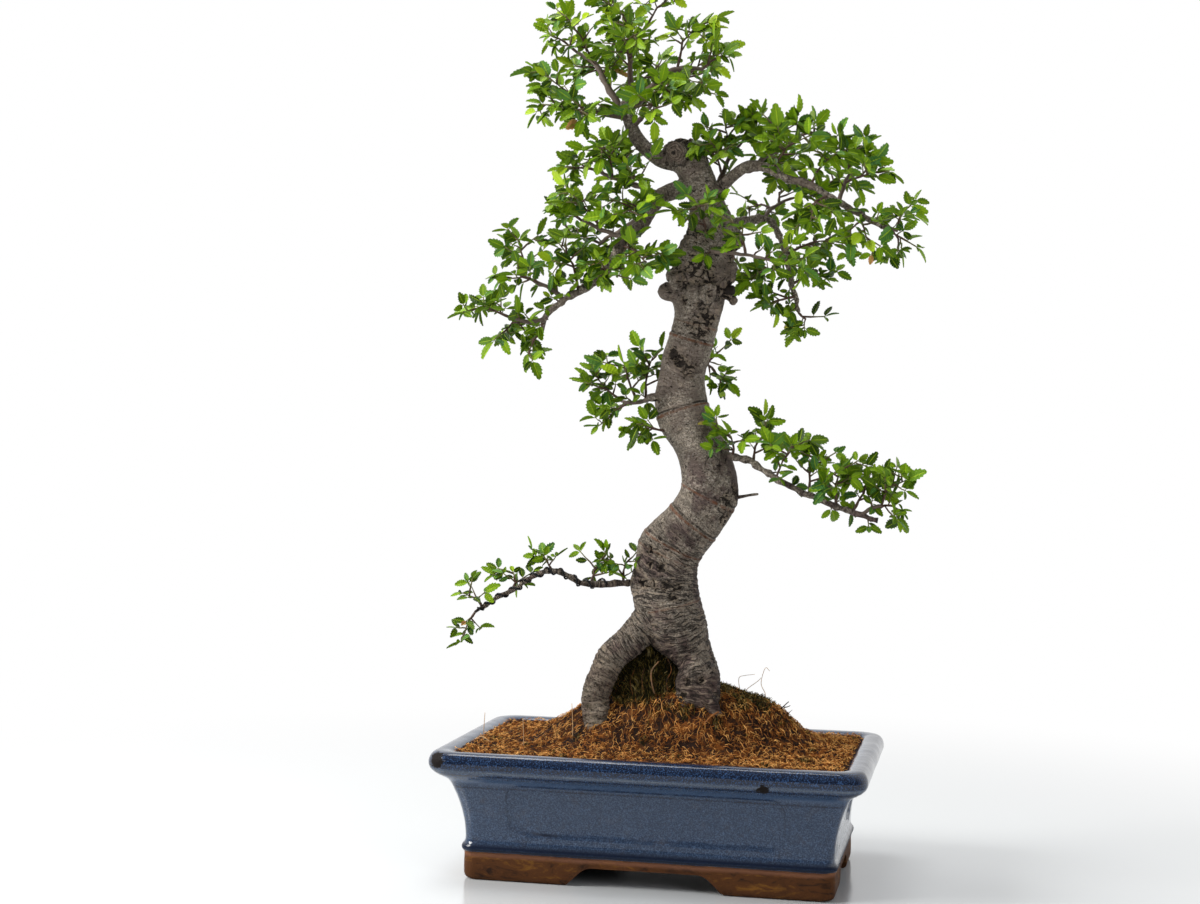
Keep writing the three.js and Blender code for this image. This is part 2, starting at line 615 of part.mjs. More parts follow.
// One shoot from its root to its tip: the stem, its side twigs and all their leaves
function growShoot(root, tip, seed) {
  const random = seededRandom(seed);
  const axis = tip.clone().sub(root);
  const length = axis.length();
  const ahead = axis.clone().normalize();
  const side = new THREE.Vector3().crossVectors(ahead, UP).normalize();
  const lift = new THREE.Vector3().crossVectors(side, ahead);
  const stem = Array.from({ length: SHOOT.steps + 1 }, (_, step) => {
    const share = step / SHOOT.steps;
    const arc = Math.sin(Math.PI * share);
    return root.clone().addScaledVector(axis, share)
      .addScaledVector(side, (random() - 0.5) * SHOOT.kink * arc)
      .addScaledVector(lift, (SHOOT.bow * length + (random() - 0.5) * SHOOT.kink) * arc);
  });
  const count = Math.max(2, Math.round(length / SHOOT.twigSpacing));
  const twigs = Array.from({ length: count }, (_, index) => {
    const share = mix(...SHOOT.twigsAt, index / (count - 1));
    const spread = radians(mix(...TWIG.spread, random()));
    const roll = radians(mix(...TWIG.roll, random()));
    const hand = index % 2 === 0 ? 1 : -1;
    const reach = TWIG.length * mix(...TWIG.taper, share) * mix(...TWIG.vary, random());
    const across = side.clone().multiplyScalar(hand * Math.cos(roll))
      .addScaledVector(lift, Math.sin(roll));
    const direction = ahead.clone().multiplyScalar(Math.cos(spread))
      .addScaledVector(across, Math.sin(spread));
    const base = along(stem, share).point;
    const points = [base, base.clone().addScaledVector(direction, reach)];
    return { points, leaves: leavesAlong(points, TWIG.leavesFrom, random) };
  });
  return { stem, twigs, leaves: leavesAlong(stem, SHOOT.leavesFrom, random) };
}

// Toothed blades on one narrow neck, thick along each midrib and thin at the edge
function leavesSolid({ point, sideways, level, leaves, neck }) {
  const points = [];
  const triangles = [];
  const put = (direction, along, offset, height) => {
    const aside = new THREE.Vector3().crossVectors(level, direction);
    return points.push(point.clone().addScaledVector(direction, along)
      .addScaledVector(aside, offset).addScaledVector(level, height)) - 1;
  };
  const { thickness, arch, fold, crotch, width } = LEAF;
  const flat = (x, z) => points.push(
    point.clone().addScaledVector(sideways, x).addScaledVector(level, z)) - 1;
  const [upper, lower, left, right] = [flat(0, neck), flat(0, -neck), flat(neck, 0), flat(-neck, 0)];
  triangles.push([upper, left, right], [lower, right, left]);
  let start = right;
  leaves.forEach(({ direction, size }, index) => {
    const bend = (share) => -arch * size * share * share;
    const halfWidth = (width * size) / 2;
    const edge = (hand, [share, part]) => put(direction, share * size, hand * part * halfWidth,
      bend(share) + fold * part * halfWidth);
    const next = leaves[index + 1];
    const outline = [start, ...LEAF_EDGE.map((at) => edge(-1, at)),
      put(direction, size, 0, bend(1)), ...LEAF_EDGE.map((at) => edge(1, at)).reverse(),
      next ? put(direction.clone().add(next.direction).normalize(), crotch * size, 0, 0) : left];
    const ridges = [1, -1].map((side) => put(
      direction, LEAF_RIDGE * size, 0, bend(LEAF_RIDGE) + (side * thickness) / 2));
    const finish = outline[outline.length - 1];
    triangles.push([upper, start, ridges[0]], [upper, ridges[0], finish]);
    triangles.push([lower, ridges[1], start], [lower, finish, ridges[1]]);
    for (let step = 0; step + 1 < outline.length; step += 1) {
      const [a, b] = [outline[step], outline[step + 1]];
      triangles.push([ridges[0], a, b], [ridges[1], b, a]);
    }
    start = finish;
  });
  return toSolid(meshGeometry(points, triangles));
}

// Keeps the leaves and twigs of one node clear of every other node
class Clearance {
  constructor() {
    this.bars = [];
  }

  add(node, from, to, radius) {
    this.bars.push({ node, from, to, radius });
  }

  isFree(node, from, to, radius) {
    return this.bars.every((bar) => bar.node === node
      || segmentDistance(from, to, bar.from, bar.to) > radius + bar.radius + 2 * GAP);
  }
}

// Nearest distance between two straight segments, by a few rounds of projection
function segmentDistance(a, b, c, d) {
  const first = new THREE.Line3(a, b);
  const second = new THREE.Line3(c, d);
  const near = first.getCenter(new THREE.Vector3());
  const far = new THREE.Vector3();
  for (let round = 0; round < 6; round += 1) {
    second.closestPointToPoint(near, true, far);
    first.closestPointToPoint(far, true, near);
  }
  return near.distanceTo(far);
}

function addPath(clearance, node, points, radii) {
  for (let step = 0; step + 1 < points.length; step += 1) {
    clearance.add(node, points[step], points[step + 1], Math.max(radii[step], radii[step + 1]));
  }
}

const tapered = (points, [from, to]) => points.map((_, index) => (
  mix(from, to, index / (points.length - 1))));

// Every spray as a name, its own branchlet if it has one, and its grown shoots
function planSprays() {
  let seed = 1;
  const grow = (root, tip) => {
    seed += 1;
    return growShoot(root, vector(tip), seed * 977);
  };
  const sprays = [];
  for (const [name, { points, radii, shoots }] of Object.entries(BRANCHLETS)) {
    const branchlet = points.map(vector);
    const grown = shoots.map(([share, tip]) => grow(along(branchlet, share).point, tip));
    sprays.push({ name, branchlet, radii, grown });
  }
  for (const [name, [limb, share, tip]] of Object.entries(SHOOTS)) {
    sprays.push({ name, grown: [grow(along(LIMBS[limb].points.map(vector), share).point, tip)] });
  }
  for (const [name, [root, tip]] of Object.entries(TRUNK_SHOOTS)) {
    sprays.push({ name, grown: [grow(vector(root), tip)] });
  }
  return sprays;
}

// The solid of a spray: its stems, and of its twigs and leaves those that show its outline
function makeSpray({ name, branchlet, radii, grown }, clearance) {
  const parts = [];
  if (branchlet) {
    parts.push(sweep(branchlet, tapered(branchlet, radii), BRANCHLET_SIDES));
  }
  const addLeaves = (cluster) => {
    const leaves = cluster.leaves.filter(({ direction, size }) => {
      const [from, to] = [0.3, 0.9].map((share) => (
        cluster.point.clone().addScaledVector(direction, share * size)));
      const radius = 0.4 * LEAF.width * size;
      const free = clearance.isFree(name, from, to, radius);
      if (free) {
        clearance.add(name, from, to, radius);
      }
      return free;
    });
    if (leaves.length > 0) {
      parts.push(leavesSolid({ ...cluster, leaves }));
    }
  };
  grown.forEach(({ stem, twigs, leaves }, index) => {
    parts.push(sweep(stem, tapered(stem, SHOOT.radii), SHOOT.sides));
    addLeaves(leaves.tip);
    const { points: [base, end], leaves: twigLeaves } = twigs[index % twigs.length];
    const twiggy = (index + name.length) % TWIGGY_SHARE === 0;
    if (twiggy && clearance.isFree(name, base.clone().lerp(end, 0.4), end, TWIG.radii[0])) {
      addPath(clearance, name, [base, end], TWIG.radii);
      parts.push(sweep([base, end], TWIG.radii, TWIG.sides));
      addLeaves(twigLeaves.tip);
    } else {
      leaves.sides.filter((_, rank) => rank === 0).forEach(addLeaves);
    }
  });
  return joined(parts);
}

// The finished object

const MATERIALS = {
  glaze: { color: 0x3d5575, roughness: 0.18, metalness: 0 },
  soil: { color: 0x7a4526, roughness: 0.95, metalness: 0 },
  bark: { color: 0x83776f, roughness: 0.8, metalness: 0 },
  leaf: { color: 0x4c8f2c, roughness: 0.5, metalness: 0 },
  wire: { color: 0x2a2a2c, roughness: 0.5, metalness: 0.6 },
  plastic: { color: 0x1d2320, roughness: 0.6, metalness: 0 },
  clip: { color: 0x9a9a98, roughness: 0.4, metalness: 0.9 },
};

const tree = new THREE.Group();

function addPiece(name, solid, finish) {
  const piece = new THREE.Mesh(
    toGeometry(solid), new THREE.MeshStandardMaterial(MATERIALS[finish]));
  piece.name = name;
  tree.add(piece);
}

const wood = makeWood(0);
const woodSleeve = makeWood(GAP);
addPiece('pot', makePot(), 'glaze');
addPiece('soil', makeSoil(woodSleeve), 'soil');
addPiece('tree_wood', wood, 'bark');
addPiece('training_wire', makeWire(0), 'wire');
for (const [side, label] of [[-1, 'left'], [1, 'right']]) {
  addPiece(`drain_mesh_${label}`, makeDrainMesh(side), 'plastic');
  addPiece(`mesh_clip_${label}`, makeMeshClip(side), 'clip');
}

const clearance = new Clearance();
for (let step = 0; step + 1 < TRUNK.length; step += 1) {
  const [x, y, z, halfWidth, halfDepth] = TRUNK[step];
  const below = TRUNK[step + 1];
  clearance.add('tree_wood', new THREE.Vector3(x, y, z), vector(below.slice(0, 3)),
    Math.max(halfWidth, halfDepth, below[3]));
}
for (const limb of Object.values(LIMBS)) {
  const { places, radii } = limbStations(limb);
  addPath(clearance, 'tree_wood', places, radii);
}
const sprays = planSprays();
for (const { name, branchlet, radii, grown } of sprays) {
  if (branchlet) {
    addPath(clearance, name, branchlet, tapered(branchlet, radii));
  }
  grown.forEach(({ stem }) => addPath(clearance, name, stem, tapered(stem, SHOOT.radii)));
}
const sleeve = woodSleeve.add(makeWire(GAP));
for (const spray of sprays) {
  addPiece(`spray_${spray.name}`, mainBody(makeSpray(spray, clearance).subtract(sleeve)), 'leaf');
}

// The origin goes to the middle of the footprint of the whole, on the ground
const bounds = new THREE.Box3().setFromObject(tree);
const middle = bounds.getCenter(new THREE.Vector3());
tree.position.set(-middle.x, -middle.y, -bounds.min.z);

export default tree;
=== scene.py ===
import math

import bpy
import numpy as np
from bpy.props import FloatProperty, FloatVectorProperty, IntProperty, PointerProperty
from mathutils import Matrix, Vector, noise


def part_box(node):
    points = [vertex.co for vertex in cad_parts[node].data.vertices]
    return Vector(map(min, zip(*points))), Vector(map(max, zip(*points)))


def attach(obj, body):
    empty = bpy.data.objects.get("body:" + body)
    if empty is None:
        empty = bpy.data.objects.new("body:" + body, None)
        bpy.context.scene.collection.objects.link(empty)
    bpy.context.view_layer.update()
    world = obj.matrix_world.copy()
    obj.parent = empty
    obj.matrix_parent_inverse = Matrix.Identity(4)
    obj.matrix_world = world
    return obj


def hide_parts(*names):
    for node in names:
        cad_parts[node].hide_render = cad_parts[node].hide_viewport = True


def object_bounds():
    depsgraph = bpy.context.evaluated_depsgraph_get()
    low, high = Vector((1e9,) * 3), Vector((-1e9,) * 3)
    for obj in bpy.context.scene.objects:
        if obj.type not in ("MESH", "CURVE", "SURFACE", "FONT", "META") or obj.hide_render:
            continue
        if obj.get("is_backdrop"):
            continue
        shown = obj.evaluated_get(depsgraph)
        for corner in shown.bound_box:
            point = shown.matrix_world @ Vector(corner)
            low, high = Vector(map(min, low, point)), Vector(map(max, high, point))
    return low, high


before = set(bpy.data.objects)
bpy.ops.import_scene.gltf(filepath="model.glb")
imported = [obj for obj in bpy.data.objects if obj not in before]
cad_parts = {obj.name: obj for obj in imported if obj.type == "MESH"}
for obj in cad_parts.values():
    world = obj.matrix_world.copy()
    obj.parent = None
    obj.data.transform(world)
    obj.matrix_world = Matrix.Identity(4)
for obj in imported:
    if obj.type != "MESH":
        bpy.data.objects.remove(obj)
CAD_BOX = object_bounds()

bl_info = {
    "name": "Chinese Elm Bonsai",
    "version": (1, 0, 0),
    "blender": (4, 5, 0),
    "location": "View3D > Sidebar > Bonsai",
    "description": "Builds a winding elm with toothed leaves in a flared, glazed pot of fibre",
    "category": "Add Mesh",
}

# Vector noise starts from the clock unless it is given a seed
noise.seed_set(977)

# Lengths below are in millimetres from the middle of the pot's footprint on the ground, with
# +Z up, +X along the pot and the front at -Y. MIDDLE is where that point lies in the row frame.
MM = 0.001
pot_low, pot_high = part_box("pot")
MIDDLE = Vector(((pot_low.x + pot_high.x) / 2, (pot_low.y + pot_high.y) / 2, 0))
UP = Vector((0, 0, 1))

# The camera's place, its turn, tip and roll in radians, and its lens
CAMERA_AT = (243.97, -1401.07, 320.18)
CAMERA_TURN = 0.20912917
CAMERA_TIP = -0.00722475
CAMERA_ROLL = 0.01614866
FOCAL_PIXELS = 1900
FRAME_PIXELS = (1200, 904)

POT_HALF = (155, 100)
CORNER_RADIUS = 16
CORNER_SHRINK = 0.3
# The pot's outside as (inset from the half sizes, height): foot, glaze roll, flared wall, rim
POT_OUTSIDE = [
    (23.4, 0), (21.6, 1.2), (20.6, 4), (20.4, 11), (20.4, 19.2), (19.6, 20.4), (18.6, 22.2),
    (18.9, 24.6), (20.3, 26.6), (20.9, 29), (20.8, 33), (20.2, 40), (19.2, 46), (17.8, 52),
    (15.6, 59.5), (12.9, 66.5), (11.2, 70.4), (9.4, 72.8), (7, 74.6), (3.8, 76.6), (0.8, 78.8),
    (-1.5, 81.6), (-2.5, 84.8), (-2.2, 88.4), (-0.8, 91.4), (1.2, 93.3), (4, 94),
]
POT_INSIDE = [
    (8, 94), (11.4, 93.2), (13.6, 91.2), (14.6, 88.6), (15.5, 86), (20, 70), (26, 52), (29.5, 32),
    (33, 24),
]
FLOOR_BOTTOM = 14.5
FOOT_INSET = 35
DRAIN_AT = 70
DRAIN_RADIUS = 9
# Half lengths of the arches at the ground and at their top, for the long and the short sides
ARCHES = ((57, 43), (33, 24))
ARCH_HEIGHT = 13.5
ARCH_RADIUS = 5
PANEL_HALF = (100, 54)
PANEL_HEIGHTS = (35, 71)
PANEL_RADIUS = 10
# A burnt pit in the front wall, a bare corner of the rim and the sawn end of the trunk
PIT_AT = (86.1, -98.6, 79.8)
BARE_CORNER = (-149, -100, 89)
WOUND_AT = (2.5, -14, 533)

# The fibre: its height and inset where it meets the rim, and the mound in its middle
SOIL_EDGE = 92
SOIL_INSET = 13.5
SOIL_INSIDE = ((32, 26), (26, 52), (20, 70), (15.5, 86))
MOUND_HEIGHT = 44
MOUND_AT = (8, 12)
MOUND_SIZE = (88, 54)
MOUND_POWER = 3.5
# Low swells in the fibre as x, y, width and height: right of the mound and before each foot
SWELLS = ((84, 6, 17, 5.5), (-46, -41, 15, 5.5), (34, -36, 12, 3))
# The mossy clump in the hollow between the legs as (half width, height), from the top down
CLUMP_AT = (-12, 6)
CLUMP_DEPTH = 0.8
CLUMP = ((0, 166.5), (4, 165.5), (12, 160), (22, 148), (31, 130), (37, 104))
CLUMP_LOW = 126

# Trunk stations from the pruned top down to the foot of the right leg:
# (x, y, z, half width, half depth) of a level section
TRUNK = [
    (9, 0, 545, 8, 7), (6, 0, 539, 15.5, 13), (13, 0, 524, 14.5, 13), (21, -1, 508, 13.6, 13),
    (26, -1, 496, 14.3, 14), (29, -2, 478, 19, 17), (26, -2, 463, 23, 20), (22, -2, 449, 23, 20),
    (20.5, -1, 429, 21, 19), (19, 0, 411, 17.3, 17), (13, 1, 389, 17.8, 17), (8, 2, 368, 17.2, 17),
    (8, 2, 350, 20, 18), (15, 1, 328, 22.7, 20), (26, 0, 308, 20.5, 20), (31, -2, 287, 21, 20),
    (26, -3, 271, 25, 21), (10, -3, 250, 28.8, 22), (0, -2, 229, 24.4, 22), (-2, -1, 210, 25.3, 23),
    (4, 0, 183, 25.8, 23), (11, 2, 166, 22, 21), (23, 3, 150, 16, 16), (27, 3, 128, 13.5, 15),
    (28, 4, 104, 16, 17), (30, 6, 76, 11, 12),
]
TRUNK_LOBE = 0.05

# Roots, limbs and stubs that are one piece with the trunk: first and last radius, points
LIMBS = {
    "root_left": ((13, 8.8), [
        (-8, -2, 192), (-26, -10, 169), (-39, -15, 156), (-49, -21, 129), (-47, -23, 104), (-43, -26, 80),
    ]),
    "root_back": ((11, 6), [(10, 8, 168), (14, 24, 142), (10, 38, 118), (0, 48, 84)]),
    "leader": ((6.4, 4.4), [(2, -2, 526), (-13, -1, 531), (-27, 0, 543), (-34, 2, 556), (-40, 5, 575)]),
    "left": ((6.8, 1.8), [
        (14, 0, 510), (-6, -10, 502), (-13, -16, 493), (-21, -22, 477), (-33, -28, 466), (-38, -32, 452),
        (-52, -36, 437), (-63, -40, 427), (-75, -40, 421), (-85, -42, 412), (-90, -42, 398),
    ]),
    "right": ((5, 1.8), [
        (26, 0, 494), (38, -4, 509), (51, -10, 519), (61, -14, 522), (76, -20, 518), (89, -24, 511),
        (101, -28, 507), (118, -32, 497), (131, -34, 489), (142, -36, 482), (158, -38, 474),
    ]),
    "drop": ((3.6, 1.5), [
        (32, 4, 480), (54, 34, 488), (69, 44, 486), (76, 46, 470), (82, 44, 454), (84, 44, 440),
        (88, 42, 431), (90, 42, 418),
    ]),
    "low": ((3, 1.9), [
        (26, -2, 312), (47, -8, 308), (59, -14, 306), (71, -18, 301), (80, -22, 294), (97, -26, 286),
        (115, -30, 279), (129, -32, 274), (140, -34, 270), (158, -36, 265),
    ]),
    "wired": ((2.6, 1.3), [
        (-12, 0, 213), (-30, -3, 213), (-54, -12, 211), (-69, -18, 215), (-84, -22, 221),
        (-100, -26, 215), (-112, -30, 206), (-128, -34, 197), (-139, -36, 189),
    ]),
    "dry_twig": ((1.7, 0.8), [(38, -2, 276), (53, -2, 278), (68, -6, 281)]),
    "stub_low": ((4.2, 3), [(2, -6, 352), (-8, -12, 352), (-15, -15, 351)]),
    "stub_burl": ((5, 3.4), [(34, -4, 430), (42, -5, 431), (47, -6, 431)]),
}

# Burls and callused scars on the trunk: centre, then half sizes
KNOBS = (
    ((-2, -6, 430), (9, 8, 7)), ((22, -18, 428), (10, 6, 9)), ((46, -2, 469), (8, 9, 9)),
    ((4, -8, 535), (10, 8, 8)), ((12, 16, 446), (10, 7, 9)),
)

# Branchlets, each a node of its own: first and last radius, points, then its shoots as
# (place along the branchlet, tip of the shoot)
BRANCHLETS = {
    "apex_left": ((2.9, 1.3), [(-36, 3, 561), (-53, -12, 563), (-64, -20, 562), (-75, -28, 557)],
        [(1, (-96, -26, 568)), (0.67, (-90, -42, 586)), (0.4, (-66, -46, 560))]),
    "apex_middle": ((2.8, 1.3), [(-36, 3, 559), (-54, 8, 587), (-65, 12, 605), (-79, 14, 614)],
        [(1, (-100, 10, 627)), (0.7, (-82, -14, 636)), (0.4, (-78, 44, 608))]),
    "apex_top": ((2.8, 1.2), [
        (-39, 5, 571), (-36, 10, 586), (-38, 14, 604), (-35, 14, 619), (-26, 10, 631)],
        [(1, (-2, 0, 652)), (0.75, (-60, -2, 652)), (0.5, (-46, 42, 640)), (0.3, (-34, -28, 616))]),
    "apex_right": ((3.6, 1.4), [
        (-37, 3, 566), (-19, -6, 581), (-8, -8, 590), (5, -10, 596), (22, -12, 594)],
        [(1, (36, -10, 604)), (0.7, (16, 8, 632)), (0.45, (4, -38, 570))]),
    "apex_back": ((2.4, 1.2), [(-38, 4, 565), (-30, 24, 578), (-16, 38, 588), (-4, 48, 592)],
        [(1, (14, 60, 616)), (0.55, (-28, 70, 610))]),
    "apex_low": ((2, 1.1), [(-32, 2, 553), (-22, -8, 563), (-13, -12, 570), (8, -16, 573)],
        [(1, (27, -28, 578)), (0.55, (-10, -42, 558))]),
    "left_far": ((1.9, 1.1), [(-86, -42, 409), (-100, -42, 405), (-113, -44, 408)],
        [(1, (-141, -46, 415)), (0.6, (-124, -30, 394))]),
    "left_mid": ((1.9, 1.1), [(-73, -40, 421), (-90, -38, 433), (-107, -38, 439)],
        [(1, (-110, -34, 467)), (0.6, (-112, -56, 436))]),
    "left_fan": ((2.2, 1.2), [(-32, -27, 467), (-50, -20, 475), (-66, -20, 482)],
        [(1, (-89, -14, 492)), (0.5, (-66, -48, 497))]),
    "left_crown": ((2.6, 1.2), [(-8, -11, 501), (-28, -4, 510), (-48, 2, 517), (-62, 4, 523)],
        [(1, (-82, 0, 524)), (0.66, (-54, -26, 536)), (0.5, (-52, 36, 539)), (0.25, (-28, -36, 512))]),
    "left_back": ((2.4, 1.2), [(-20, -20, 480), (-30, 10, 486), (-48, 34, 480), (-66, 46, 472)],
        [(1, (-94, 54, 482)), (0.6, (-62, 66, 454))]),
    "right_tip": ((1.8, 1.1), [(156, -38, 475), (163, -38, 472), (168, -39, 471)],
        [(1, (177, -44, 488)), (0.6, (168, -30, 456))]),
    "right_rise": ((1.8, 1.1), [(126, -33, 492), (129, -30, 505), (132, -26, 512)],
        [(1, (134, -16, 532)), (0.6, (153, -46, 512))]),
    "right_fan": ((2.2, 1.2), [(60, -13, 522), (72, 0, 532), (85, 4, 538)],
        [(1, (106, 0, 548)), (0.5, (78, -18, 550))]),
    "right_crown": ((2.6, 1.2), [(26, 1, 500), (33, 12, 516), (38, 12, 530), (47, 10, 540)],
        [(1, (60, 4, 560)), (0.75, (40, -14, 552)), (0.4, (36, -22, 532))]),
    "right_back": ((2.2, 1.2), [(51, -10, 519), (66, 18, 523), (84, 34, 517), (104, 44, 509)],
        [(1, (122, 56, 518)), (0.6, (72, 44, 538))]),
    "drop_high": ((1.8, 1.1), [(62, 40, 488), (68, 48, 498), (76, 52, 504)],
        [(1, (104, 54, 504)), (0.8, (78, 62, 516)), (0.5, (46, 60, 500))]),
    "front_twig": ((1.7, 0.9), [(28, -10, 459), (37, -34, 457), (61, -44, 453), (76, -50, 450)],
        [(1, (103, -60, 443)), (0.66, (60, -62, 472))]),
    "back_left": ((2.3, 1.2), [(0, 6, 352), (-19, 18, 351), (-30, 26, 348), (-44, 32, 349)],
        [(1, (-65, 42, 366)), (0.85, (-56, 40, 336)), (0.7, (-45, 42, 377)), (0.45, (-22, 44, 384))]),
    "back_right": ((1.8, 1), [(10, 10, 376), (21, 25, 378), (26, 31, 375)],
        [(1, (34, 36, 362)), (0.7, (26, 44, 386))]),
    "low_tip": ((1.8, 1), [(146, -35, 269), (154, -38, 274), (160, -39, 276)],
        [(1, (177, -42, 294)), (0.7, (174, -32, 272))]),
}

# Shoots that rise straight from a limb, each a node of its own: limb, place along it, tip
SHOOTS = {
    "left_tip": ("left", 1, (-99, -46, 382)), "left_rise": ("left", 0.7, (-80, -34, 464)),
    "left_front": ("left", 0.56, (-36, -64, 438)), "left_inner": ("left", 0.22, (-28, -56, 482)),
    "left_low": ("left", 0.42, (-8, -56, 446)), "right_hang": ("right", 0.9, (148, -58, 462)),
    "right_mid": ("right", 0.62, (124, -42, 526)), "right_front": ("right", 0.4, (92, -50, 534)),
    "right_under": ("right", 0.7, (108, -56, 476)), "drop_tip": ("drop", 1, (94, 50, 406)),
    "drop_low": ("drop", 0.86, (67, 34, 424)), "drop_right": ("drop", 0.72, (112, 48, 448)),
    "drop_out": ("drop", 0.5, (120, 34, 472)), "drop_left": ("drop", 0.62, (50, 38, 442)),
    "low_near": ("low", 0.13, (48, -24, 325)), "low_second": ("low", 0.28, (71, -6, 325)),
    "low_third": ("low", 0.46, (95, -34, 318)), "low_fourth": ("low", 0.62, (113, -16, 309)),
    "low_fifth": ("low", 0.76, (132, -44, 303)), "low_sixth": ("low", 0.88, (151, -24, 298)),
    "wired_tip": ("wired", 1, (-147, -36, 172)), "wired_curl": ("wired", 0.94, (-142, -46, 201)),
    "wired_mid": ("wired", 0.74, (-114, -22, 219)), "wired_top": ("wired", 0.5, (-92, -18, 233)),
    "wired_rise": ("wired", 0.26, (-50, -4, 229)), "wired_near": ("wired", 0.14, (-30, -14, 228)),
}

# Shoots that rise from the trunk itself: start inside the bark, tip
TRUNK_SHOOTS = {
    "front_tuft": ((28, -10, 468), (26, -50, 490)), "sprig_scar": ((0, -8, 326), (-20, -20, 322)),
}


# How shoots and twigs grow, and how leaves sit on them
SHOOT_RADII = (1.1, 0.42)
SHOOT_STEPS = 2
SHOOT_BOW = 0.1
SHOOT_KINK = 6
TWIG_SPACING = 8
TWIGS_AT = (0.3, 0.9)
SHOOT_LEAVES_FROM = 0.45
TWIG_RADII = (0.8, 0.42)
TWIG_LENGTH = 19
TWIG_TAPER = (1.1, 0.7)
TWIG_VARY = (0.7, 1.3)
TWIG_SPREAD = (45, 75)
TWIG_ROLL = (-35, 55)
TWIG_LEAVES_FROM = 0.2
LEAF_SPACING = 4.6
LEAF_VARY = (0.65, 1.2)
LEAF_ANGLE = (48, 72)
FAN_ANGLES = (-66, 0, 66)
FAN_VARY = 8
FAN_NECK = 0.6
LEAF_TEETH = 6
LIGHT = Vector((0.1, -0.6, 0.8))
LIGHT_PULL = 0.8
OUTWARD_PULL = 0.3
# A whole turn, for draws of a direction
ROUND = 6.283
# Limbs thinner than this are swept on their own, past the skin of the trunk
THIN_LIMB = 3.4

# Rings that old wire left round the trunk: height of the trunk's middle there, and how deep
RING_SCARS = (
    (407, 0.5), (396, 1), (342, 1.2), (279, 0.8), (260, 1.1), (242, 0.8), (236, 0.5), (196, 0.5),
)
# Dark, cracked places in the bark: x, y, z and size
CRACKED = (
    (2, -15, 384, 7), (9, -17, 378, 8), (17, -17, 372, 10), (25, -16, 374, 8), (27, -17, 399, 10),
    (20, -18, 404, 8), (36, -13, 408, 9), (27, -17, 350, 5), (20, -19, 446, 9), (29, -20, 440, 9),
    (24, -18, 421, 7), (12, -18, 424, 5), (-10, -20, 238, 5), (-3, -21, 237, 5), (4, -21, 236, 4),
    (-9, -21, 227, 4), (0, -22, 226, 5), (-15, -19, 214, 6), (-6, -21, 213, 6), (3, -22, 212, 6),
    (11, -22, 211, 5), (8, -22, 204, 5), (43, -12, 277, 8), (49, -8, 283, 7), (44, -11, 263, 8),
    (40, -14, 270, 6), (38, -14, 300, 4), (-9, -13, 347, 5), (-46, -24, 136, 7), (-52, -24, 110, 8),
    (20, -24, 143, 4.5), (31, -24, 145, 5), (15, -24, 133, 5), (10, 14, 400, 12), (16, 18, 300, 12),
    (2, 20, 224, 13), (30, 16, 356, 9), (28, 14, 268, 9),
)
BURLS = (
    (20, -4, 446, 26), (24, -2, 470, 23), (44, -4, 462, 14), (42, -6, 432, 13), (6, -4, 538, 14),
    (27, -2, 498, 15), (30, -14, 410, 11),
)
# Callused scars in the bark: centre, radius of the ring, its height and the depth inside it
KNOTS = (
    ((3, -12, 533), 8, 0.7, 0.7), ((1.5, -13, 535), 2.2, 0.4, 2.6), ((7, -18, 437), 5.2, 1.8, 0.8),
    ((30.6, -20, 427.7), 6.8, 1.8, 1.1), ((30.9, -18, 401), 4, 1.4, 0.6), ((4, -14, 380.4), 3.4, 0.9, 2),
    ((17, -15, 371.6), 4, 0.8, 2), ((43, -14, 271.3), 4.4, 1.3, 1.3), ((35, -17, 302), 4.5, 0.4, 0.6),
    ((14, 19, 474), 7, 1.6, 1.4), ((4, 20, 334), 5, 1.1, 1.2), ((22, 17, 258), 6, 1.3, 1.2),
    ((-4, 20, 214), 5, 1, 1),
)
# Bumps that only the bark's skin shows: centre and half sizes
SMALL_KNOBS = (
    ((44, -7, 441), (6, 6, 6)), ((46, -5, 424), (5, 5, 5)), ((36, -14, 446), (7, 6, 10)),
    ((14, -17, 455), (7, 6, 9)), ((48, -6, 274), (5, 5, 5)), ((42, -4, 448), (8, 7, 7)),
    ((6, -15, 437), (6, 5, 6)), ((2, -15, 441), (5.5, 5, 6.5)), ((24, -17, 458), (8, 6, 8)),
    ((36, -13, 462), (7, 6, 8)), ((30, -17, 434), (6, 5, 7)),
)
# Roots that splay out where the legs meet the ground: path, first and last radius
FLARES = (
    (((25, -5, 156), (22, -11, 138), (20, -13, 100)), (12.5, 14)),
    (((30, -6, 150), (31, -12, 134), (33, -13, 100)), (11.5, 12.5)),
    (((27, -18, 138), (36, -24, 131), (43, -25, 118)), (5, 4.4)),
    (((-47, -22, 124), (-46.5, -26, 108), (-45.5, -28, 86)), (8.6, 12.5)),
)


def blend(low, high, share):
    return low + (high - low) * share


def smoothed(low, high, value):
    share = np.clip((value - low) / (high - low), 0, 1)
    return share * share * (3 - 2 * share)


def seeded_draws(seed):
    """Repeatable draws between 0 and 1."""
    state = seed & 0xFFFFFFFF

    def draw():
        nonlocal state
        state = (state + 0x6D2B79F5) & 0xFFFFFFFF
        mixed = (state ^ (state >> 15)) * (state | 1) & 0xFFFFFFFF
        mixed ^= (mixed + (mixed ^ (mixed >> 7)) * (mixed | 61)) & 0xFFFFFFFF
        return (mixed ^ (mixed >> 14)) / 4294967296

    return draw


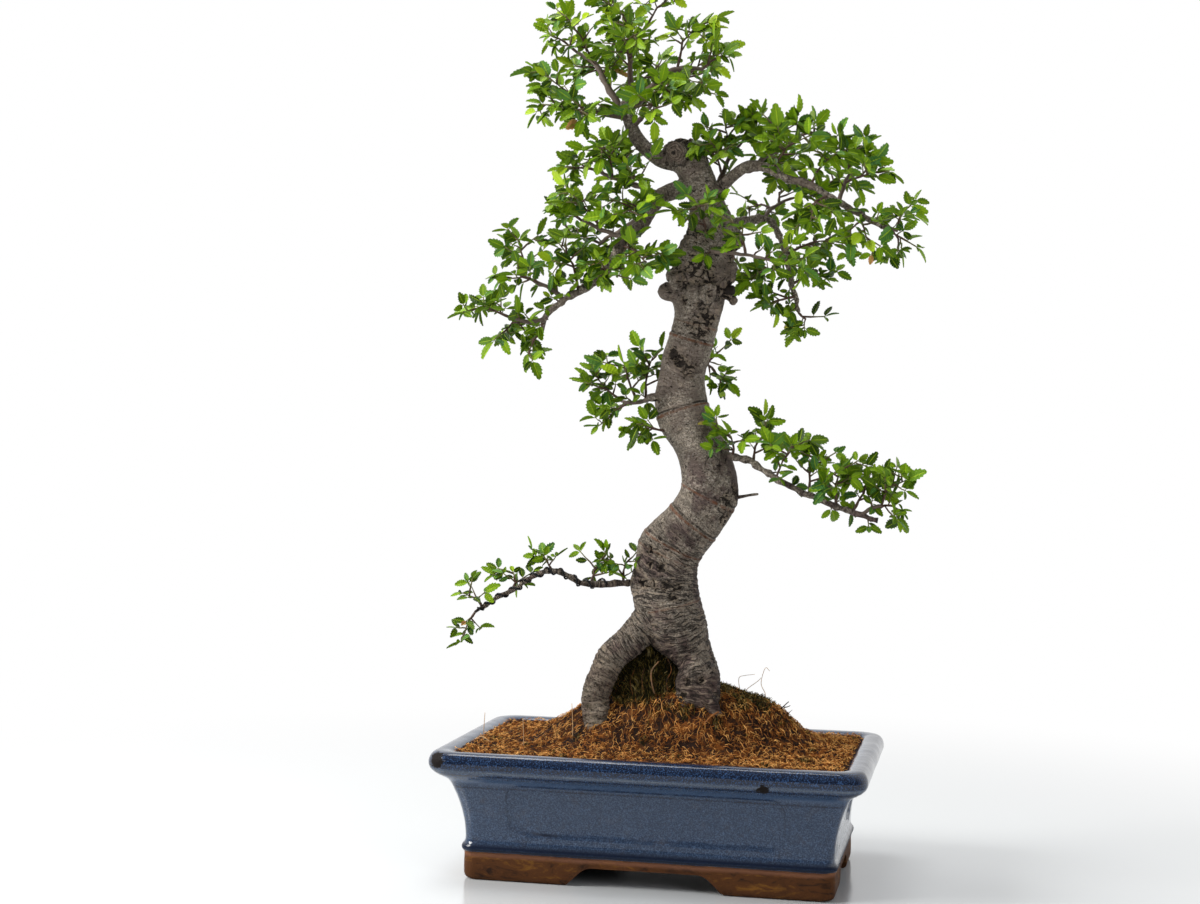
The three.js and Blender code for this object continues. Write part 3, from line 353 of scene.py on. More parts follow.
def smooth_rows(rows, steps):
    """Rows of numbers with smooth ones filled in between."""
    rows = np.asarray(rows, float)
    padded = np.vstack([2 * rows[0] - rows[1], rows, 2 * rows[-1] - rows[-2]])
    filled = []
    for index in range(len(rows) - 1):
        a, b, c, d = padded[index:index + 4]
        for step in range(steps):
            t = step / steps
            filled.append((2 * b + (c - a) * t + (2 * a - 5 * b + 4 * c - d) * t * t
                           + (3 * b - a - 3 * c + d) * t ** 3) / 2)
    filled.append(rows[-1])
    return np.array(filled)


def closed_faces(rings, count):
    """Faces of a closed skin over rings of equal count, with a cap on the first and the last."""
    last = (rings - 1) * count
    faces = []
    for start in range(0, last, count):
        for step in range(count):
            after = (step + 1) % count
            faces.append((start + step, start + after, start + count + after, start + count + step))
    return faces + [tuple(reversed(range(count))), tuple(range(last, last + count))]


def tube(points, radii, sides):
    """Points and faces of a closed tube along a list of points."""
    points = [Vector(point) for point in points]
    tangent = (points[1] - points[0]).normalized()
    start = UP if abs(tangent.z) < 0.9 else Vector((1, 0, 0))
    normal = (start - tangent * start.dot(tangent)).normalized()
    shell = []
    for index, point in enumerate(points):
        ahead = points[min(index + 1, len(points) - 1)] - points[max(index - 1, 0)]
        heading = ahead.normalized()
        normal.rotate(tangent.rotation_difference(heading))
        tangent = heading
        binormal = tangent.cross(normal)
        for step in range(sides):
            angle = 2 * math.pi * step / sides
            shell.append(point + (normal * math.cos(angle) + binormal * math.sin(angle)) * radii[index])
    return shell, closed_faces(len(points), sides)


def path_length(points):
    return sum((after - point).length for point, after in zip(points, points[1:]))


def limb_path(limb, steps):
    """Smooth points and radii of a limb."""
    radii, points = LIMBS[limb]
    rows = [(*point, blend(*radii, index / (len(points) - 1))) for index, point in enumerate(points)]
    filled = smooth_rows(rows, steps)
    return [Vector(row[:3]) for row in filled], [row[3] for row in filled]


class Draft:
    """A piece in the making: points, faces, the finish of each face, and three numbers a point
    that its finish reads."""

    def __init__(self):
        self.points = []
        self.marks = []
        self.faces = []
        self.finishes = []

    def add(self, points, faces, marks=(0, 0, 0), finish=0):
        start = len(self.points)
        self.points.extend(points)
        self.marks.extend(marks if isinstance(marks, list) else [marks] * len(points))
        self.faces.extend(tuple(start + corner for corner in face) for face in faces)
        self.finishes.extend([finish] * len(faces))

    def mesh(self, name):
        made = bpy.data.meshes.new(name)
        places = np.array(self.points, float) * MM + np.array(MIDDLE)
        made.from_pydata(places.tolist(), [], self.faces)
        made.polygons.foreach_set("material_index", self.finishes)
        marks = made.attributes.new("marks", "FLOAT_VECTOR", "POINT")
        marks.data.foreach_set("vector", np.array(self.marks, np.float32).ravel())
        made.shade_smooth()
        made.update()
        return made


def one_skin(name, points, faces, marks=(0, 0, 0)):
    """A mesh of a single skin."""
    draft = Draft()
    draft.add(points, faces, marks)
    return draft.mesh(name)


def ringed(name, rings, marks=(0, 0, 0)):
    """A closed mesh through level rings of points."""
    points = [point for ring in rings for point in ring]
    return one_skin(name, points, closed_faces(len(rings), len(rings[0])), marks)


def place_piece(name, mesh, finishes, replaced=()):
    """Shows a mesh as a piece of the tree or the pot."""
    for finish in finishes:
        mesh.materials.append(finish)
    piece = bpy.data.objects.new(name, mesh)
    bpy.context.scene.collection.objects.link(piece)
    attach(piece, "root")
    if replaced:
        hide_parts(*replaced)
    return piece


def modified(mesh, *changes):
    """A mesh after modifiers, each given as its kind and its settings."""
    carrier = bpy.data.objects.new("carrier", mesh)
    bpy.context.scene.collection.objects.link(carrier)
    for kind, settings in changes:
        modifier = carrier.modifiers.new(kind.lower(), kind)
        for key, value in settings.items():
            setattr(modifier, key, value)
    graph = bpy.context.evaluated_depsgraph_get()
    changed = bpy.data.meshes.new_from_object(carrier.evaluated_get(graph))
    bpy.data.objects.remove(carrier)
    return changed


class Signal:
    """A socket of a finish, for writing sums on it as plain expressions."""

    def __init__(self, finish, socket):
        self.finish = finish
        self.socket = socket

    def maths(self, operation, *values):
        return self.finish.node("ShaderNodeMath", {"operation": operation}, dict(enumerate(values)))

    def __add__(self, other):
        return self.maths("ADD", self, other)

    def __sub__(self, other):
        return self.maths("SUBTRACT", self, other)

    def __rsub__(self, other):
        return self.maths("SUBTRACT", other, self)

    def __mul__(self, other):
        return self.maths("MULTIPLY", self, other)

    def __truediv__(self, other):
        return self.maths("DIVIDE", self, other)

    def __abs__(self):
        return self.maths("ABSOLUTE", self)

    __radd__ = __add__
    __rmul__ = __mul__

    def most(self, other):
        return self.maths("MAXIMUM", self, other)

    def fraction(self):
        return self.maths("FRACT", self)

    def sine(self):
        return self.maths("SINE", self)

    def rise(self, low, high):
        """0 below low and 1 above high, or the other way round where low is the larger."""
        return self.finish.node(
            "ShaderNodeMapRange", {"interpolation_type": "SMOOTHSTEP"},
            {"Value": self, "From Min": low, "From Max": high})

    def bell(self, middle, width):
        return abs(self - middle).rise(width, 0)


class Finish:
    """A node tree in the making, of a material or the world."""

    def __init__(self, owner):
        owner.use_nodes = True
        self.tree = owner.node_tree
        self.tree.nodes.clear()

    def node(self, kind, settings, inputs, output=0):
        made = self.tree.nodes.new(kind)
        for key, value in settings.items():
            if key == "stops":
                self.set_stops(made.color_ramp, value)
            else:
                setattr(made, key, value)
        for key, value in inputs.items():
            if isinstance(value, Signal):
                self.tree.links.new(value.socket, made.inputs[key])
            else:
                made.inputs[key].default_value = value
        return Signal(self, made.outputs[output])

    @staticmethod
    def set_stops(ramp, stops):
        while len(ramp.elements) < len(stops):
            ramp.elements.new(1)
        for element, (position, colour) in zip(ramp.elements, stops):
            element.position = position
            element.color = (*colour, 1)

    def place(self):
        return self.node("ShaderNodeTexCoord", {}, {}, "Object")

    def marks(self):
        return self.split(self.node("ShaderNodeAttribute", {"attribute_name": "marks"}, {}, "Vector"))

    def split(self, vector):
        parts = self.node("ShaderNodeSeparateXYZ", {}, {"Vector": vector})
        outputs = parts.socket.node.outputs
        return [Signal(self, outputs[name]) for name in "XYZ"]

    def combine(self, x, y, z):
        return self.node("ShaderNodeCombineXYZ", {}, {"X": x, "Y": y, "Z": z})

    def vector(self, operation, first, second, output=0):
        return self.node("ShaderNodeVectorMath", {"operation": operation}, {0: first, 1: second}, output)

    def grain(self, vector, size, detail=3, roughness=0.55, distortion=0):
        """Noise with features of about that size in millimetres, from 0 to 1."""
        return self.node("ShaderNodeTexNoise", {}, {
            "Vector": vector, "Scale": 1 / (size * MM), "Detail": detail, "Roughness": roughness,
            "Distortion": distortion})

    def cells(self, vector, size):
        """Distance to the nearest of scattered points, as a share of their spacing."""
        return self.node("ShaderNodeTexVoronoi", {}, {
            "Vector": vector, "Scale": 1 / (size * MM)}, "Distance")

    def away(self, spot):
        """How far a place is from a spot, in millimetres."""
        middle = tuple(Vector(spot) * MM + MIDDLE)
        return self.vector("DISTANCE", self.place(), middle, "Value") / MM

    def mix(self, first, second, factor):
        """One colour, then another as the factor rises."""
        first, second = (value if isinstance(value, Signal) else (*value, 1) for value in (first, second))
        return self.node("ShaderNodeMix", {"data_type": "RGBA"}, {0: factor, 6: first, 7: second}, 2)

    def coats(self, base, *coats):
        """A colour under coats, each given as its colour and how far it covers."""
        for tint, cover in coats:
            base = self.mix(base, tint, cover)
        return base

    def ramp(self, factor, stops):
        return self.node("ShaderNodeValToRGB", {"stops": stops}, {"Fac": factor})

    def bump(self, height, depth):
        """A normal for a height from 0 to 1 that stands for that many millimetres."""
        return self.node("ShaderNodeBump", {}, {"Height": height, "Distance": depth * MM, "Strength": 1.0})

    def shader(self, inputs):
        return self.node("ShaderNodeBsdfPrincipled", {}, inputs)

    def blended(self, first, second, factor):
        """One shader, then another as the factor rises."""
        return self.node("ShaderNodeMixShader", {}, {0: factor, 1: first, 2: second})

    def end(self, shader, kind="Material"):
        output = self.tree.nodes.new(f"ShaderNodeOutput{kind}")
        self.tree.links.new(shader.socket, output.inputs["Surface"])

    def surface(self, base, roughness, specular, relief, depth):
        """Ends the finish as a dull surface with a relief so many millimetres deep."""
        self.end(self.shader({
            "Base Color": base, "Roughness": roughness, "Specular IOR Level": specular,
            "Normal": self.bump(relief, depth)}))


def new_finish(name):
    material = bpy.data.materials.new(name)
    return material, Finish(material)


def along(points, share):
    """Point and heading at a share of the way along a list of points."""
    place = min(share, 0.9999) * (len(points) - 1)
    start = int(place)
    heading = points[start + 1] - points[start]
    return points[start] + heading * (place - start), heading.normalized()


def jitter(draw):
    """A drawn step to any side, up to a half each way."""
    return Vector([draw() - 0.5 for _ in range(3)])


def leaf_face(point, draw):
    """A draw of where a leaf's upper face turns, mostly to the light and away from the trunk."""
    outward = Vector((point.x - TRUNK[4][0], point.y, 0)).normalized()
    return (jitter(draw) + LIGHT * LIGHT_PULL + outward * OUTWARD_PULL).normalized()


def leaf_cluster(point, heading, angles, draw):
    """Leaves that share a point and a face: the point, its level, then direction and size of each."""
    face = leaf_face(point, draw)
    sideways = face.cross(heading).normalized()
    level = heading.cross(sideways)
    leaves = []
    for angle in angles:
        size = blend(*LEAF_VARY, draw())
        leaves.append((heading * math.cos(angle) + sideways * math.sin(angle), size))
    return point, level, leaves


def leaves_along(points, first_at, draw):
    """Leaves along a stem, two-ranked, ending in a fan of three."""
    length = (points[-1] - points[0]).length * (1 - first_at)
    count = max(1, int(length / LEAF_SPACING + 0.5) - 2)
    clusters = []
    for step in range(count):
        point, heading = along(points, blend(first_at, 1, (step + 0.5) / (count + 0.5)))
        hand = 1 if step % 2 == 0 else -1
        angle = hand * math.radians(blend(*LEAF_ANGLE, draw()))
        clusters.append(leaf_cluster(point, heading, [angle], draw))
    point, heading = along(points, 1)
    fan = [math.radians(angle + FAN_VARY * (draw() - 0.5)) for angle in FAN_ANGLES]
    clusters.append(leaf_cluster(point - heading * FAN_NECK, heading, fan, draw))
    return clusters


def grow_shoot(root, tip, seed):
    """One shoot from its root to its tip: the stem, its leaves, and its side twigs with theirs."""
    draw = seeded_draws(seed)
    axis = tip - root
    ahead = axis.normalized()
    side = ahead.cross(UP).normalized()
    lift = side.cross(ahead)
    stem = []
    for step in range(SHOOT_STEPS + 1):
        share = step / SHOOT_STEPS
        arc = math.sin(math.pi * share)
        aside = (draw() - 0.5) * SHOOT_KINK * arc
        above = (SHOOT_BOW * axis.length + (draw() - 0.5) * SHOOT_KINK) * arc
        stem.append(root + axis * share + side * aside + lift * above)
    count = max(2, int(axis.length / TWIG_SPACING + 0.5))
    twigs = []
    for index in range(count):
        share = blend(*TWIGS_AT, index / (count - 1))
        spread = math.radians(blend(*TWIG_SPREAD, draw()))
        roll = math.radians(blend(*TWIG_ROLL, draw()))
        hand = 1 if index % 2 == 0 else -1
        reach = TWIG_LENGTH * blend(*TWIG_TAPER, share) * blend(*TWIG_VARY, draw())
        across = side * (hand * math.cos(roll)) + lift * math.sin(roll)
        direction = ahead * math.cos(spread) + across * math.sin(spread)
        base = along(stem, share)[0]
        points = [base, base + direction * reach]
        twigs.append((points, leaves_along(points, TWIG_LEAVES_FROM, draw)))
    return stem, leaves_along(stem, SHOOT_LEAVES_FROM, draw), twigs


def plan_sprays():
    """Every spray as its name, its own branchlet if it has one, and its grown shoots."""
    seed = 1
    sprays = []

    def grow(root, tip):
        nonlocal seed
        seed += 1
        return grow_shoot(root, Vector(tip), seed * 977)

    for name, (radii, points, shoots) in BRANCHLETS.items():
        points = [Vector(point) for point in points]
        grown = [grow(along(points, share)[0], tip) for share, tip in shoots]
        sprays.append((name, (points, radii), grown))
    for name, (limb, share, tip) in SHOOTS.items():
        points = [Vector(point) for point in LIMBS[limb][1]]
        sprays.append((name, None, [grow(along(points, share)[0], tip)]))
    for name, (root, tip) in TRUNK_SHOOTS.items():
        sprays.append((name, None, [grow(Vector(root), tip)]))
    return sprays


def clump_height(x, y):
    """Height of the mossy clump between the legs, or 0 away from it."""
    away = math.hypot(x - CLUMP_AT[0], (y - CLUMP_AT[1]) / CLUMP_DEPTH)
    return float(np.interp(away, *zip(*CLUMP), right=0))


def ground_height(x, y):
    """Height of the fibre's surface in the pot."""
    across = (x - MOUND_AT[0]) / MOUND_SIZE[0]
    back = (y - MOUND_AT[1]) / MOUND_SIZE[1]
    mound = math.exp(-(math.hypot(across, back) ** MOUND_POWER))
    level = SOIL_EDGE + MOUND_HEIGHT * mound
    for at_x, at_y, width, height in SWELLS:
        level += height * math.exp(-(math.hypot(x - at_x, y - at_y) / width) ** 2)
    clump = clump_height(x, y)
    level = max(level, clump)
    lumps = 2.2 * noise.noise(Vector((x / 16, y / 16, 3))) + 1.3 * noise.noise(Vector((x / 5, y / 5, 9)))
    return level + lumps * (0.35 + 0.65 * mound) * (3.4 if clump == level else 1)


def near_trunk(point, margin):
    """Whether a point lies within the trunk or a root, or less than a margin from it."""
    for middle, half in WOOD_BARS:
        gap = point - middle
        if abs(gap.z) < 8 and math.hypot(gap.x, gap.y) < half + margin:
            return True
    return False


def wood_bars():
    """Level slices of the trunk and the two front roots: middle and half width."""
    rows = smooth_rows(TRUNK, 3)
    bars = [(Vector(row[:3]), (row[3] + row[4]) / 2) for row in rows]
    for root in ("root_left", "root_back"):
        bars += list(zip(*limb_path(root, 3)))
    return bars


WOOD_BARS = wood_bars()


def colour(name, description, default):
    return FloatVectorProperty(
        name=name, description=description, default=default, subtype="COLOR", size=3, min=0, max=1)


def number(name, description, default, **kind):
    return FloatProperty(name=name, description=description, default=default, **kind)


def length(name, description, default):
    return number(name, description, default, unit="LENGTH", subtype="DISTANCE")


class FoliageSettings(bpy.types.PropertyGroup):
    leaf_length: length("Leaf length", "Usual length of a leaf with its stalk", 0.0118)
    spur_spacing: length("Spur spacing", "Between the spurs along a limb", 0.011)
    fullness: number("Fullness", "Share of twigs that bear a second twiglet", 0.65, subtype="FACTOR")
    leaf_width: number("Leaf width", "Width as a share of the length", 0.6, subtype="FACTOR")
    leaf_thickness: length("Leaf thickness", "Thickness at the midrib", 0.0004)
    # deep_green is the leaves' own dark tone, and through the height term in each leaf's shade it is also
    # painted shade low in the crown
    deep_green: colour("Deep green", "Old leaves inside the crown", (0.018, 0.055, 0.002))
    leaf_green: colour("Leaf green", "Most leaves", (0.17, 0.315, 0.007))
    young_green: colour("Young green", "Leaves at the tips of shoots", (0.44, 0.61, 0.022))
    flush_orange: colour("Flush", "The newest, unfolding leaves", (0.62, 0.3, 0.12))
    under_green: colour("Underside", "Lower face of the leaves", (0.12, 0.22, 0.02))
    twig_brown: colour("Twig brown", "Bark of the fine twigs", (0.085, 0.045, 0.03))
    blue_green: colour("Blue-green", "Leaves that have hardened off", (0.055, 0.19, 0.05))
    twig_green: colour("Twig green", "This year's stalks", (0.16, 0.17, 0.045))


class WoodSettings(bpy.types.PropertyGroup):
    skin_size: length("Skin detail", "Edge of the squares that make up the bark", 0.00112)
    bark_grey: colour("Bark grey", "Smooth bark in the light", (0.305, 0.255, 0.2))
    bark_plum: colour("Bark plum", "Darker, purplish patches", (0.1, 0.064, 0.06))
    bark_tan: colour("Bark tan", "Light plates and lips in the bark", (0.3, 0.235, 0.17))
    bark_dark: colour("Crack brown", "Cracks, freckles and burls", (0.019, 0.014, 0.011))
    bark_rust: colour("Ring rust", "Lips of the rings that old wire left", (0.17, 0.065, 0.03))
    moss_stain: colour("Moss stain", "Stain on the bark near the ground", (0.075, 0.075, 0.03))
    wire_black: colour("Wire", "Training wire", (0.018, 0.019, 0.021))


class PotSettings(bpy.types.PropertyGroup):
    panel_depth: length("Panel depth", "How far the panel in each wall is sunk", 0.0014)
    glaze_blue: colour("Glaze blue", "The walls", (0.02, 0.035, 0.07))
    glaze_fleck: colour("Glaze fleck", "Light specks in the glaze", (0.086, 0.142, 0.25))
    glaze_navy: colour("Glaze navy", "Where the glaze lies thick", (0.003, 0.007, 0.022))
    clay_brown: colour("Clay brown", "The bare foot", (0.09, 0.035, 0.013))
    clay_ochre: colour("Clay ochre", "Lighter stains on the foot", (0.2, 0.085, 0.018))
    clay_dark: colour("Clay dark", "Dark stains on the foot", (0.028, 0.014, 0.009))


class SoilSettings(bpy.types.PropertyGroup):
    fibre_count: IntProperty(name="Fibres", description="Loose fibres on the surface", default=14700)
    fibre_length: length("Fibre length", "Usual length of a fibre", 0.0075)
    moss_count: IntProperty(name="Moss tufts", description="Tufts near the trunk", default=3000)
    coir_red: colour("Coir red", "Most of the fibre", (0.44, 0.145, 0.026))
    coir_tan: colour("Coir tan", "Light fibres", (0.92, 0.48, 0.14))
    # coir_dark is painted shade: the dark of the hollows between the fibres
    coir_dark: colour("Coir dark", "Hollows between the fibres", (0.02, 0.009, 0.005))
    moss_green: colour("Moss green", "Moss near the trunk", (0.125, 0.13, 0.03))
    root_pale: colour("Root pale", "Fine roots and straws", (0.5, 0.4, 0.27))


class StageSettings(bpy.types.PropertyGroup):
    floor_white: colour("Floor", "The plain floor", (0.66, 0.68, 0.69))
    key_power: number("Key light", "Soft light from the front left", 33, unit="POWER")
    fill_power: number("Fill light", "Soft light from the front right", 8, unit="POWER")
    top_power: number("Top light", "Soft light from above", 15, unit="POWER")


SETTINGS = {
    "bonsai_foliage": FoliageSettings, "bonsai_wood": WoodSettings, "bonsai_pot": PotSettings,
    "bonsai_soil": SoilSettings, "bonsai_stage": StageSettings,
}
# Bands in the glaze as height and half width: dark lines under the rim, the painted glint above
# them, the painted reflection between them, the bead over the foot and the line that ends the glaze
RIM_LINES = ((78.3, 1.5), (68, 1.1))
PAINTED_GLINT_BAND = (81.1, 1.6)
PAINTED_REFLECTION_BAND = (73.1, 4.2)
BEAD_BAND = (24, 4.2)
LAST_LINE = (21.6, 1.4)
# From where the rim is dipped in the dark glaze, and over how much height the glaze ends
RIM_DIP = (82.4, 83.4)
GLAZE_END = (20.2, 20.8)
# Heights over which the folded bark of the base turns smooth
FOLDS_END = (268, 222)


def glaze_finish(pot):
    material, finish = new_finish("glazed_stoneware")
    place = finish.place()
    x, y, z = finish.split(finish.vector("SUBTRACT", place, tuple(MIDDLE)))
    along_x, along_y, height = x / MM, y / MM, z / MM
    wander = finish.grain(place, 14) - 0.5
    specks = finish.grain(place, 0.9, 2, 0.7)
    dots = finish.grain(place, 1.5, 2, 0.6)
    clouds = finish.grain(place, 9, 4)
    streaks = finish.grain(finish.combine(x * 0.05, y * 0.05, z), 1.3, 2, 0.5, 0.4)
    level = height + wander * 1.4
    wall = finish.coats(
        pot.glaze_blue,
        (pot.glaze_fleck, specks.rise(0.42, 0.66) * (0.4 + 0.7 * clouds)),
        (pot.glaze_blue, dots.rise(0.5, 0.36) * 0.7),
        ((0.045, 0.042, 0.05), clouds.rise(0.5, 0.85) * 0.5),
        # painted reflection: a lighter band on the ledge where the wall flares under the rim
        (pot.glaze_fleck, (height + wander * 2).bell(*PAINTED_REFLECTION_BAND) * 0.4),
        # painted glint: pale streaks in the cove under the rim
        ((0.19, 0.22, 0.25), level.bell(*PAINTED_GLINT_BAND) * (0.35 + 0.65 * streaks.rise(0.5, 0.7)) * 0.55))
    navy_speck = specks.rise(0.5, 0.66) * height.rise(50, 80) * 0.85
    navy = finish.mix(pot.glaze_navy, (0.038, 0.09, 0.215), navy_speck)

    side_edges = panel_line(finish, along_y, height, PANEL_HALF[1])
    front_edges = panel_line(finish, along_x, height, PANEL_HALF[0])
    edges = side_edges + (front_edges - side_edges) * abs(along_y).rise(75.5, 77)
    faint = 0.3 + 0.6 * height.rise(52, 66) * clouds.rise(0.35, 0.5)
    run_off = level.bell(*RIM_LINES[0]).most(level.bell(*RIM_LINES[1])) * (
        0.45 + 0.55 * clouds.rise(0.3, 0.5))
    streak = (along_x + 9 * wander).bell(-72, 21) * (height + 0.04 * along_x).bell(32.2, 1.7)
    streak = streak * y.rise(0, -0.01)
    pooled = (edges * faint).most(run_off).most(streak)
    outside = abs(along_x).rise(POT_HALF[0] - 9, POT_HALF[0] - 6).most(
        abs(along_y).rise(POT_HALF[1] - 9, POT_HALF[1] - 6))
    dipped = (height + wander * 1.5).rise(*RIM_DIP) * outside
    thick = dipped.most((height + wander * 0.7).bell(*BEAD_BAND)).most(pooled)
    glaze = finish.coats(wall, (navy, thick * 0.93), (pot.glaze_navy, (height + wander).bell(*LAST_LINE)))

    stains = finish.grain(finish.combine(x * 0.5, y * 0.5, z * 1.5), 9, 5, 0.65, 0.9)
    clay = finish.coats(
        finish.ramp(stains, [
            (0.32, pot.clay_dark), (0.45, pot.clay_brown), (0.55, pot.clay_brown), (0.7, pot.clay_ochre)]),
        (pot.clay_dark, finish.grain(place, 26, 2).rise(0.5, 0.75) * 0.6),
        ((0.27, 0.12, 0.07), (height + wander * 2).bell(18.6, 3) * 0.6))
    bare = 1 - (height + wander * 1.2).rise(*GLAZE_END)
    inset = abs(along_x).rise(124, 126).most(abs(along_y).rise(69, 71))
    ragged = finish.grain(place, 6, 4, 0.7) - 0.5
    burnt = (finish.away(PIT_AT) + 18 * ragged).rise(4.2, 3.4).most(
        (finish.away(BARE_CORNER) + 22 * ragged).rise(6.6, 5.6))
    # painted shade: the underside and inner faces of the foot, inside the inset band, are painted near black
    # for the dark space under the pot
    base = finish.coats(
        glaze, (clay, bare), ((0.012, 0.009, 0.008), burnt), ((0.002, 0.0015, 0.001), (1 - inset) * bare))
    dull = bare.most(burnt).most((height + wander).bell(23, 3) * 0.85)
    relief = finish.grain(place, 30, 2) + 0.12 * clouds + dull * 0.5 * finish.grain(place, 1.6, 4)
    normal = finish.bump(relief, 0.9)
    glassy = finish.shader({"Base Color": base, "Roughness": 0.1 + 0.05 * specks, "Normal": normal})
    earthy = finish.shader({
        "Base Color": base, "Roughness": 0.6, "Specular IOR Level": 0.08, "Normal": normal})
    finish.end(finish.blended(glassy, earthy, dull))
    return material


def panel_line(finish, along_wall, height, half):
    """Where the glaze pools round the edge of the sunk panel."""
    low, high = PANEL_HEIGHTS
    out_x = (abs(along_wall) - (half - PANEL_RADIUS)).most(0)
    out_z = (abs(height - (low + high) / 2) - ((high - low) / 2 - PANEL_RADIUS)).most(0)
    gap = finish.vector("LENGTH", finish.combine(out_x, out_z, 0), (0, 0, 0), "Value")
    return gap.bell(PANEL_RADIUS, 1.1)


def bark_finish(wood):
    material, finish = new_finish("elm_bark")
    place = finish.place()
    x, y, z = finish.split(finish.vector("SUBTRACT", place, tuple(MIDDLE)))
    run, cracked, scar = finish.marks()
    along_x, height = x / MM, z / MM
    patches = finish.grain(place, 24, 4, 0.6, 0.5)
    pores = finish.grain(place, 1.7, 5, 0.7)
    mottle = finish.grain(place, 6, 5, 0.75)
    upper = height.rise(280, 330)
    light_upper = height.rise(250, 300)
    freckles = finish.cells(place, 3.4).rise(0.24, 0.1) * finish.grain(place, 12, 2).rise(0.42, 0.56)
    lines = (finish.grain(place, 9, 3, 0.5, 1.5) * 75).sine()
    foot = (height + 30 * (mottle - 0.5)).rise(160, 136) * along_x.rise(2, 14)

    waves = 7 * MM * (finish.grain(place, 15, 2) - 0.5)
    around = finish.combine(x * 0.13, y * 0.13, run - 0.22 * x + waves)
    wrinkles = finish.grain(around, 1.3, 3, 0.6, 0.8)
    deep = finish.grain(around, 3.6, 3, 0.55, 0.8)
    wrinkled = 0.25 + 0.75 * height.rise(*FOLDS_END)
    folds = wrinkles.rise(0.48, 0.4).most(deep.rise(0.4, 0.34)) * wrinkled

    specks = finish.grain(finish.combine(x * 0.6, y * 0.6, run), 2.6, 4, 0.6, 0.4)
    torn = (specks + 0.22 * cracked).rise(0.63, 0.67).most(cracked.rise(0.62, 0.85))
    lips = (specks + 0.2 * cracked).rise(0.5, 0.56) * cracked.rise(0.25, 0.5)
    worn = finish.grain(place, 7, 3, 0.6).rise(0.36, 0.6)
    wound = finish.away(WOUND_AT) + 6 * (mottle - 0.5)
    sawn = finish.mix((0.25, 0.19, 0.15), (0.06, 0.04, 0.032), (wound * 3.4).sine().rise(-0.4, 0.8))
    damp = (height + 30 * (patches - 0.5)).rise(146, 112) * finish.grain(place, 5, 4).rise(0.48, 0.68)

    base = finish.coats(
        wood.bark_grey,
        (wood.bark_plum, (patches + 0.35 * (mottle - 0.5)).rise(0.42, 0.6) * (0.9 - 0.4 * upper)),
        (wood.bark_tan, finish.grain(place, 9, 5, 0.7).rise(0.52, 0.7) * 0.55),
        (wood.bark_dark, pores.rise(0.52, 0.64) * (0.75 - 0.2 * upper)),
        ((0.53, 0.47, 0.395),
         pores.rise(0.52, 0.38) * patches.rise(0.62, 0.42) * (0.45 + 0.45 * light_upper)),
        (wood.bark_dark, freckles * 0.8),
        (wood.bark_dark, lines.rise(0.25, 0.95) * patches.rise(0.66, 0.44) * 0.6),
        ((0.07, 0.043, 0.038), foot * 0.85),
        # painted shade: the valleys of the folds near the base are darkened
        (wood.bark_dark, folds * 0.85),
        # painted highlight: the crests of the same folds are lightened with tan
        (wood.bark_tan, wrinkles.rise(0.54, 0.64) * wrinkled * 0.75),
        (wood.bark_dark, run.rise(2.08, 2.12) * 0.2 * pores.rise(0.35, 0.6)),
        (wood.bark_dark, torn * 0.92),
        (wood.bark_tan, lips * (1 - torn) * 0.75),
        (wood.bark_rust, scar.rise(0.1, 0.7) * (0.35 + 0.65 * worn) * 0.85),
        (wood.bark_dark, scar.rise(-0.2, -0.7) * (0.4 + 0.6 * worn) * 0.9),
        (sawn, wound.rise(9, 7) * 0.85),
        (wood.bark_dark, wound.rise(3, 2)),
        # painted highlight: the left root, on the side that faces the key light, is lightened with tan
        (wood.bark_tan, along_x.rise(-22, -42) * height.rise(175, 150) * pores.rise(0.6, 0.4) * 0.6),
        (wood.moss_stain, damp * 0.5))
    relief = 0.4 * pores - 0.9 * folds - 0.9 * torn + 0.25 * specks + 0.12 * lines
    finish.surface(base, 0.7 + 0.2 * torn, 0.25, relief, 1.7)
    return material


def twig_finish(foliage, wood):
    material, finish = new_finish("twig_bark")
    age, lit, _ = finish.marks()
    speckle = finish.grain(finish.place(), 1.4, 4, 0.65)
    base = finish.coats(
        foliage.twig_green,
        (foliage.twig_brown, age.rise(0.05, 0.4)),
        ((0.13, 0.1, 0.08), age.rise(0.5, 1) * 0.8),
        (wood.bark_dark, speckle.rise(0.55, 0.7) * 0.6),
        ((0.3, 0.22, 0.17), speckle.rise(0.42, 0.28) * 0.4 * lit.rise(0.1, 0.9)))
    finish.surface(base, 0.6 + 0.2 * speckle, 0.35, speckle, 0.3)
    return material


def leaf_finish(foliage, upper):
    material, finish = new_finish("leaf_upper" if upper else "leaf_under")
    across, run, shade = finish.marks()
    side = abs(across)
    grain = finish.grain(finish.place(), 3.5, 3)
    veins = (run * 9 - side * 2.4).fraction().bell(0.5, 0.16) * side.rise(0, 0.12)
    rib = side.rise(0.15, 0.04)
    base = finish.coats(
        # the shade mark mixes each leaf's own tone with painted light: higher leaves lean to young green,
        # lower ones to deep green
        foliage.deep_green,
        (foliage.leaf_green, (shade + 0.3 * (grain - 0.5)).rise(0, 0.5)),
        (foliage.young_green, shade.rise(0.55, 0.95)),
        (foliage.blue_green, (shade * 7).fraction().rise(0.8, 0.86) * 0.7),
        (foliage.flush_orange, (shade + 0.25 * (1 - run)).rise(1.35, 1.55)),
        (foliage.under_green, 0 if upper else 0.6),
        (foliage.young_green, rib.most(veins * 0.5) * 0.6))
    ridges = rib.most(veins * 0.6)
    roughness, specular, relief = (0.3, 0.16, 1 - ridges) if upper else (0.6, 0.1, ridges)
    finish.surface(base, roughness + 0.14 * grain, specular, relief, 0.3)
    return material


